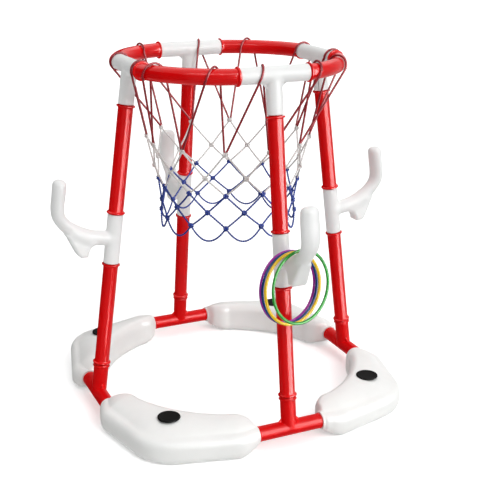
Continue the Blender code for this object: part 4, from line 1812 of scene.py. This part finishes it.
@dataclass
class FillerPlug:
    """A black plug in the top of a float."""

    place_radius: float = 0.2516
    top: float = 0.0548
    seat_radius: float = 0.0182
    seat_depth: float = 0.0010
    hole_radius: float = 0.0125
    cap_radius: float = 0.0178
    cap_height: float = 0.0024
    cap_edge: float = 0.0011
    cap_foot_edge: float = 0.0003
    # The dish in the cap: its depth, the foot and top of its side from the cap's edge, and the
    # roundings of both
    dish_depth: float = 0.0007
    dish_foot: float = 0.0042
    dish_top: float = 0.0034
    dish_foot_edge: float = 0.0008
    dish_top_edge: float = 0.0006
    # The hollow neck, which ends in a floor under the cap
    neck_length: float = 0.010
    neck_wall: float = 0.002
    neck_clear: float = 0.0004
    neck_edge: float = 0.0006
    neck_floor: float = 0.0010

    def frame(self) -> Matrix:
        """Frame of the plug, with its origin on the float's top.

        Returns:
            The frame.
        """
        spot = self.place_radius / math.sqrt(2)
        turn = Matrix.Rotation(math.radians(45), 4, "Z")
        return Matrix.Translation((spot, spot, self.top)) @ turn

    def shell(self) -> Shell:
        """Turn the cap with its hollow neck.

        Returns:
            The plug.
        """
        low = -self.seat_depth + FIT.clear
        high = low + self.cap_height
        dish = high - self.dish_depth
        neck = self.hole_radius - self.neck_clear
        inside, foot = neck - self.neck_wall, low - self.neck_length
        outline = [
            (0.0, dish, 0.0),
            (self.cap_radius - self.dish_foot, dish, self.dish_foot_edge),
            (self.cap_radius - self.dish_top, high, self.dish_top_edge),
            (self.cap_radius, high, self.cap_edge),
            (self.cap_radius, low, self.cap_foot_edge),
            (neck, low, 0.0),
            (neck, foot, self.neck_edge),
            (inside, foot, self.neck_edge),
            (inside, low - self.neck_floor, self.neck_edge),
            (0.0, low - self.neck_floor, 0.0),
        ]
        return turned(softened(outline))

    def build(self) -> None:
        """Make the four plugs."""
        mesh = self.shell().mesh("filler_plug")
        material = VINYL_BLACK.material()
        for corner, turn in CORNERS.items():
            node = f"filler_plug_{corner}"
            place = Matrix.Rotation(math.radians(turn), 4, "Z") @ self.frame()
            put(f"{node}_moulded", mesh, material, place, f"{corner}_plug", [node])


@dataclass
class TossRing:
    """A toss ring of drawn plastic wire that hangs on the front hook's arm."""

    radius: float = 0.0545
    wire: float = 0.0023
    rest: float = 0.0006
    steps: int = 128
    sides: int = 20

    def build(self) -> None:
        """Make the four toss rings, each on the axis that its joint gives."""
        joints = {joint["name"]: joint for joint in frame["joints"]}
        angles = np.linspace(0, 2 * math.pi, self.steps, endpoint=False)
        circle = np.stack((np.cos(angles), np.sin(angles), np.zeros(self.steps)), 1) * self.radius
        hoop = swept(circle, np.full(self.steps, self.wire), self.sides, closed=True)
        for colour in RingColour:
            name, _, _, arm_half = colour.value
            joint = joints[f"{name}_ring_swing"]
            axis = Vector(joint["axis"]).normalized()
            up = (Vector((0, 0, 1)) - axis * axis.z).normalized()
            side = up.cross(axis)
            lift = arm_half + self.rest + self.wire - self.radius
            place = Matrix((side, up, axis)).transposed().to_4x4()
            place.translation = Vector(joint["pos_m"]) + up * lift
            node, material = f"toss_ring_{name}", colour.finish().material()
            mesh = hoop.mesh(node)
            body, slot = f"{name}_ring", f"{name}_plastic"
            put(f"{node}_drawn", mesh, material, place, body, [node])


@dataclass
class Net:
    """The cord round the rim and the knotted net that hangs from it."""

    columns: int = 12
    turn_deg: float = -10.3
    radii: tuple = (0.134, 0.123, 0.116, 0.112, 0.112, 0.111)
    drops: tuple = (0.123, 0.165, 0.194, 0.223, 0.248, 0.270)
    blue_row: int = 2
    # The cord: its turn above each top knot, how far that dips, and the length of a taut step
    cord_radius: float = 0.0017
    cord_lift: float = 0.0034
    cord_turn: float = 0.0036
    cord_dip: float = 0.0012
    cord_step: float = 0.008
    cord_sides: int = 12
    wrap_steps: int = 18
    # The twine: its strands, the depth between them as a share of the radius, and their lay
    twine_radius: float = 0.0017
    twine_strands: int = 2
    twine_depth_share: float = 0.34
    twine_lay: float = 0.0075
    twine_step: float = 0.0011
    twine_sides: int = 8
    least_steps: int = 10
    bow: float = 0.0012
    bow_seed: int = 7
    # A knot: its winding's size sideways, upwards and outwards, its swell and its twine's width
    knot_radius: float = 0.0038
    knot_shares: tuple = (0.62, 0.55, 0.50)
    knot_swell: float = 0.45
    knot_twine_share: float = 0.95
    knot_steps: int = 30
    knot_sides: int = 7
    # Where the cord comes to the rim from outside and leaves it inside, round its section
    outside_deg: float = -22.0
    inside_deg: float = 176.0
    # Angles about the middle of the hoop where each loop over the rim starts and ends
    loops_deg: tuple = (
        (342.5, 344.5),
        (17.0, 18.0),
        (52.0, 58.0),
        (81.0, 86.5),
        (119.4, 125.4),
        (162.3, 164.5),
        (197.0, 197.8),
        (205.5, 211.5),
        (236.5, 242.5),
        (260.5, 266.5),
        (291.9, 297.9),
        (316.5, 321.5),
    )

    def knot(self, row: int, column: int) -> np.ndarray:
        """Place of a knot. Odd rows, counted from one, lie half a column round from even ones.

        Args:
            row: The knot's row, from the top.
            column: The knot's place in its row.

        Returns:
            The knot's middle.
        """
        pitch = 360.0 / self.columns
        offset = pitch / 2 if row % 2 == 0 else 0.0
        angle = math.radians(self.turn_deg - offset + column * pitch)
        radius = self.radii[row]
        height = STANCE.rim_height - self.drops[row]
        return np.array((radius * math.cos(angle), radius * math.sin(angle), height))

    def rim_point(self, angle_deg: float) -> tuple[np.ndarray, np.ndarray]:
        """Find a point of the rim's centreline.

        Args:
            angle_deg: Its angle about the middle of the hoop.

        Returns:
            The point and the way outwards there.
        """
        turn = math.radians(angle_deg)
        quarter = round(turn / (math.pi / 2))
        local = turn - quarter * math.pi / 2
        side = 1.0 if local >= 0 else -1.0
        way = Vector((math.cos(local), abs(math.sin(local)), 0.0))
        point = way * (STANCE.rim_half_width / way.x)
        outwards = Vector((1.0, 0.0, 0.0))
        if point.y > STANCE.rim_run / 2:
            turn = STANCE.rim_end_bend
            bends = STANCE.rim_bends
            limit = bends[0][0] + Vector((math.cos(turn), math.sin(turn), 0.0)) * bends[0][1]
            middle, radius = bends[0 if way.y * limit.x <= way.x * limit.y else 1]
            middle = Vector((middle.x, middle.y, 0.0))
            along = way.dot(middle)
            point = way * (along + math.sqrt(along**2 - middle.length_squared + radius**2))
            outwards = (point - middle).normalized()
        point = Vector((point.x, point.y * side, STANCE.rim_height))
        outwards.y *= side
        spin = Matrix.Rotation(quarter * math.pi / 2, 3, "Z")
        return np.array(spin @ point), np.array(spin @ outwards)

    def cord_line(self) -> np.ndarray:
        """Lay out the closed line of the cord.

        Returns:
            The line's points.
        """
        wrap = FIT.sleeve_radius + FIT.clear + self.cord_radius
        stations = []
        for column, (outside, inside) in enumerate(self.loops_deg):
            low = self.knot(0, column) + np.array((0.0, 0.0, self.cord_lift))
            across = np.array((-low[1], low[0], 0.0))
            across *= self.cord_turn / 2 / np.linalg.norm(across)
            turn = [low - across, low - np.array((0.0, 0.0, self.cord_dip)), low + across]
            over = []
            for i in range(self.wrap_steps + 1):
                share = i / self.wrap_steps
                centre, outwards = self.rim_point(outside + (inside - outside) * share)
                section_deg = self.outside_deg + (self.inside_deg - self.outside_deg) * share
                angle = math.radians(section_deg)
                lift = np.array((0.0, 0.0, math.sin(angle)))
                over.append(centre + (outwards * math.cos(angle) + lift) * wrap)
            stations.append((turn, over))
        line = []
        for column, (turn, over) in enumerate(stations):
            following, _ = stations[(column + 1) % self.columns]
            line += [*turn, *self.between(turn[-1], over[0])]
            line += [*over, *self.between(over[-1], following[0])]
        return np.array(line)

    def between(self, start: np.ndarray, end: np.ndarray) -> list:
        """Points of a taut run, without its ends."""
        count = max(2, int(np.linalg.norm(end - start) / self.cord_step))
        return [start + (end - start) * i / count for i in range(1, count)]

    def strand(self, start: np.ndarray, end: np.ndarray, bow: np.ndarray) -> Shell:
        """A twisted strand between two knots.

        Args:
            start: The first knot.
            end: The second knot.
            bow: How far its middle is pulled aside.

        Returns:
            The strand.
        """
        count = max(self.least_steps, int(np.linalg.norm(end - start) / self.twine_step))
        t = np.linspace(0, 1, count)[:, None]
        line = start + (end - start) * t + bow * 4 * t * (1 - t)
        return swept(
            line,
            np.full(count, self.twine_radius),
            self.twine_sides,
            lobes=self.twine_strands,
            lobe_depth=self.twine_depth_share,
            lay=self.twine_lay,
        )

    def knot_shell(self, centre: np.ndarray, turn: float) -> Shell:
        """A small tied knot: a strand that winds round itself.

        Args:
            centre: Where it is.
            turn: Its turn about the upright.

        Returns:
            The knot.
        """
        t = np.linspace(0, 2 * math.pi, self.knot_steps, endpoint=False)
        outwards = np.array((math.cos(turn), math.sin(turn), 0.0))
        sideways = np.array((-math.sin(turn), math.cos(turn), 0.0))
        up = np.array((0.0, 0.0, 1.0))
        ring = 1 + self.knot_swell * np.cos(3 * t)
        wide, high, deep = (self.knot_radius * share for share in self.knot_shares)
        line = (
            centre
            + sideways * (wide * ring * np.cos(2 * t))[:, None]
            + up * (high * ring * np.sin(2 * t))[:, None]
            + outwards * (deep * np.sin(3 * t))[:, None]
        )
        radii = np.full(len(t), self.twine_radius * self.knot_twine_share)
        return swept(line, radii, self.knot_sides, closed=True)

    def build(self) -> None:
        """Make the cord, the white twine and the blue twine."""
        line, still = self.cord_line(), Matrix.Identity(4)
        cord = swept(line, np.full(len(line), self.cord_radius), self.cord_sides, closed=True)
        mesh, nodes = cord.mesh("net_cord"), ["net_cord"]
        put("net_cord_laced", mesh, CORD_RED.material(), still, "frame", nodes)
        chance = np.random.default_rng(self.bow_seed)
        white, blue = [], []
        last = len(self.radii) - 1
        for row in range(last):
            shells = blue if row >= self.blue_row else white
            for column in range(self.columns):
                here = self.knot(row, column)
                shells.append(self.knot_shell(here, math.atan2(here[1], here[0])))
                if row == last - 1:
                    continue
                for neighbour in (column, column - 1 if row % 2 == 0 else column + 1):
                    below = self.knot(row + 1, neighbour)
                    middle = (here + below) / 2
                    inwards = -middle * (1, 1, 0) / np.linalg.norm(middle[:2])
                    bow = inwards * chance.uniform(0.0, self.bow)
                    bow = bow + np.array((0, 0, -1)) * chance.uniform(0.0, self.bow)
                    shells.append(self.strand(here, below, bow))
        for column in range(self.columns):
            start, end = self.knot(last - 1, column), self.knot(last - 1, column + 1)
            middle = self.knot(last, column)
            blue.append(self.strand(start, end, middle - (start + end) / 2))
        for name, shells, thread, slot in (
            ("net_twine_white", white, TWINE_WHITE, "white_plastic"),
            ("net_twine_blue", blue, TWINE_BLUE, "blue_twine"),
        ):
            mesh = joined(shells).mesh(name)
            put(name, mesh, thread.material(), still, "frame", ["net_twine"])


# Stage


@dataclass
class Studio:
    """The floor, the light and the camera."""

    camera_place: tuple = (-0.6270, -1.4197, 0.7798)
    target: tuple = (0.0, 0.0, 0.2469)
    lens: float = 69.03
    shift: float = 0.0446
    sensor_width: float = 36.0
    nearest: float = 0.05
    farthest: float = 200.0
    floor_half_width: float = 60.0
    floor_colour: str = "#e8e8e8"
    floor_seen: str = "#ffffff"
    floor_glow: float = 0.32
    fill: float = 0.37
    # What the boxes and cards point at
    aim: tuple = (0.0, 0.0, 0.3)
    # The way that each sun's light comes from, its spread in degrees and its strength
    suns: tuple = (
        ("key", (0.34, -0.92, 0.85), 40.0, 1.46),
        ("overhead", (0.1, 0.1, 1.0), 80.0, 0.90),
    )
    # Place of each soft box, its width and height, and its brightness, where 1 is white
    boxes: tuple = (
        ("right_box", (1.65, -2.86, 0.6), (3.9, 4.0), 42.0),
        ("ceiling", (0.0, 0.0, 3.4), (9.0, 9.0), 1.9),
        ("front_strip", (-0.78, -1.77, 2.6), (3.4, 0.35), 20.0),
    )
    # Place of each black card, and its width and height
    cards: tuple = (
        ("left_flag", (-3.6, 0.6, 0.0), (6.0, 6.0)),
        ("back_flag", (-0.7, 4.2, 0.0), (5.5, 6.0)),
    )
    card_colour: str = "#0c0c0c"

    def seen(self, tree: bpy.types.NodeTree) -> bpy.types.NodeSocket:
        """Add a value that is 1 for rays that look at the background.

        Args:
            tree: The node tree of the floor or the world.

        Returns:
            The value for rays from the camera, a reflection or a clear piece.
        """
        path = add_node(tree, "LightPath")
        rays = [path.outputs[f"Is {kind} Ray"] for kind in ("Camera", "Glossy", "Transmission")]
        either = add_node(tree, "Math", {"operation": "MAXIMUM"}, {0: rays[0], 1: rays[1]})
        links = {0: either.outputs[0], 1: rays[2]}
        return add_node(tree, "Math", {"operation": "MAXIMUM"}, links).outputs[0]

    def floor(self) -> None:
        """Lay a pale floor that shows as white and keeps the shadows."""
        mesh = flat_mesh("floor", self.floor_half_width, self.floor_half_width)
        floor = new_object("floor", mesh)
        made = bpy.data.materials.new("paper_sweep")
        made.use_nodes = True
        tree = made.node_tree
        tree.nodes.clear()
        seen = self.seen(tree)
        colour = blended_colour(tree, seen, self.floor_colour, self.floor_seen)
        paper = add_node(tree, "BsdfDiffuse", None, {"Color": colour})
        glow = add_node(tree, "Math", {"operation": "MULTIPLY", 1: self.floor_glow}, {0: seen})
        lit = add_node(tree, "Emission", None, {"Strength": glow.outputs[0]})
        both = add_node(tree, "AddShader", None, {0: paper.outputs[0], 1: lit.outputs[0]})
        add_node(tree, "OutputMaterial", None, {"Surface": both.outputs[0]})
        mesh.materials.append(made)
        floor.visible_glossy = False

    def world(self) -> None:
        """Light everything a little from all round, and show white behind the object."""
        world = bpy.data.worlds.new("studio")
        bpy.context.scene.world = world
        world.use_nodes = True
        tree = world.node_tree
        tree.nodes.clear()
        fill = add_node(tree, "Background", {"Color": (1, 1, 1, 1), "Strength": self.fill})
        white = add_node(tree, "Background", {"Color": (1, 1, 1, 1), "Strength": 1.0})
        links = {0: self.seen(tree), 1: fill.outputs[0], 2: white.outputs[0]}
        mix = add_node(tree, "MixShader", None, links)
        add_node(tree, "OutputWorld", None, {"Surface": mix.outputs[0]})

    def sheen(self, name: str, place: tuple, size: tuple, radiance: float) -> None:
        """Hang a soft box that gives streaks on glossy pieces and no other light.

        Args:
            name: The lamp's name.
            place: Where it hangs.
            size: Its width and height.
            radiance: How bright its face is, where 1 is white.
        """
        data = bpy.data.lights.new(name, "AREA")
        data.shape = "RECTANGLE"
        data.size, data.size_y = size
        data.energy = radiance * math.pi * size[0] * size[1]
        lamp = new_object(name, data)
        lamp.location = place
        way = Vector(place) - Vector(self.aim)
        lamp.rotation_euler = way.to_track_quat("Z", "Y").to_euler()
        lamp.visible_camera = lamp.visible_diffuse = False

    def flag(self, name: str, place: tuple, size: tuple) -> None:
        """Hang a black card that only reflections see, which keeps glossy edges dark.

        Args:
            name: The card's name.
            place: Where it hangs.
            size: Its width and height.
        """
        mesh = flat_mesh(name, size[0] / 2, size[1] / 2)
        card = new_object(name, mesh)
        card.location = place
        way = Vector(self.aim) - Vector(place)
        card.rotation_euler = way.to_track_quat("Z", "Y").to_euler()
        made, _, shader = new_material(name)
        shader.inputs["Base Color"].default_value = linear_colour(self.card_colour)
        shader.inputs["Specular IOR Level"].default_value = 0.0
        mesh.materials.append(made)
        card.visible_camera = card.visible_diffuse = card.visible_shadow = False
        card.visible_transmission = False

    def sun(self, name: str, way: tuple, spread_deg: float, strength: float) -> None:
        """Light the object and the whole floor evenly from one side.

        Args:
            name: The lamp's name.
            way: The direction that the light comes from.
            spread_deg: How wide the light is, which softens its shadow.
            strength: Its strength.
        """
        data = bpy.data.lights.new(name, "SUN")
        data.angle = math.radians(spread_deg)
        data.energy = strength
        lamp = new_object(name, data)
        lamp.rotation_euler = Vector(way).to_track_quat("Z", "Y").to_euler()

    def lamps(self) -> None:
        """Hang the suns, the soft boxes and the black cards."""
        for name, way, spread_deg, strength in self.suns:
            self.sun(name, way, spread_deg, strength)
        for name, place, size, radiance in self.boxes:
            self.sheen(name, place, size, radiance)
        for name, place, size in self.cards:
            self.flag(name, place, size)

    def camera(self) -> None:
        """Set the camera where the photograph was taken from."""
        data = bpy.data.cameras.new("camera")
        data.lens = self.lens
        data.sensor_width = self.sensor_width
        data.shift_x = self.shift
        data.clip_start, data.clip_end = self.nearest, self.farthest
        camera = new_object("camera", data)
        camera.location = self.camera_place
        way = Vector(self.target) - Vector(self.camera_place)
        camera.rotation_euler = way.to_track_quat("-Z", "Y").to_euler()
        bpy.context.scene.camera = camera

    def build(self) -> None:
        """Set the whole stage."""
        bpy.context.scene.view_settings.view_transform = "Standard"
        self.camera()
        self.floor()
        self.world()
        self.lamps()


def main() -> None:
    """Build the hoop from the water up, then the stage."""
    logging.basicConfig(level=logging.INFO, format="%(name)s %(message)s")
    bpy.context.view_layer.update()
    plug = FillerPlug()
    Pontoon().build(plug)
    plug.build()
    BaseTee().build()
    LegTube().build()
    Hook().build()
    RimTee().build()
    RimArc().build()
    Net().build()
    TossRing().build()
    Studio().build()


if __name__ == "__main__":
    main()
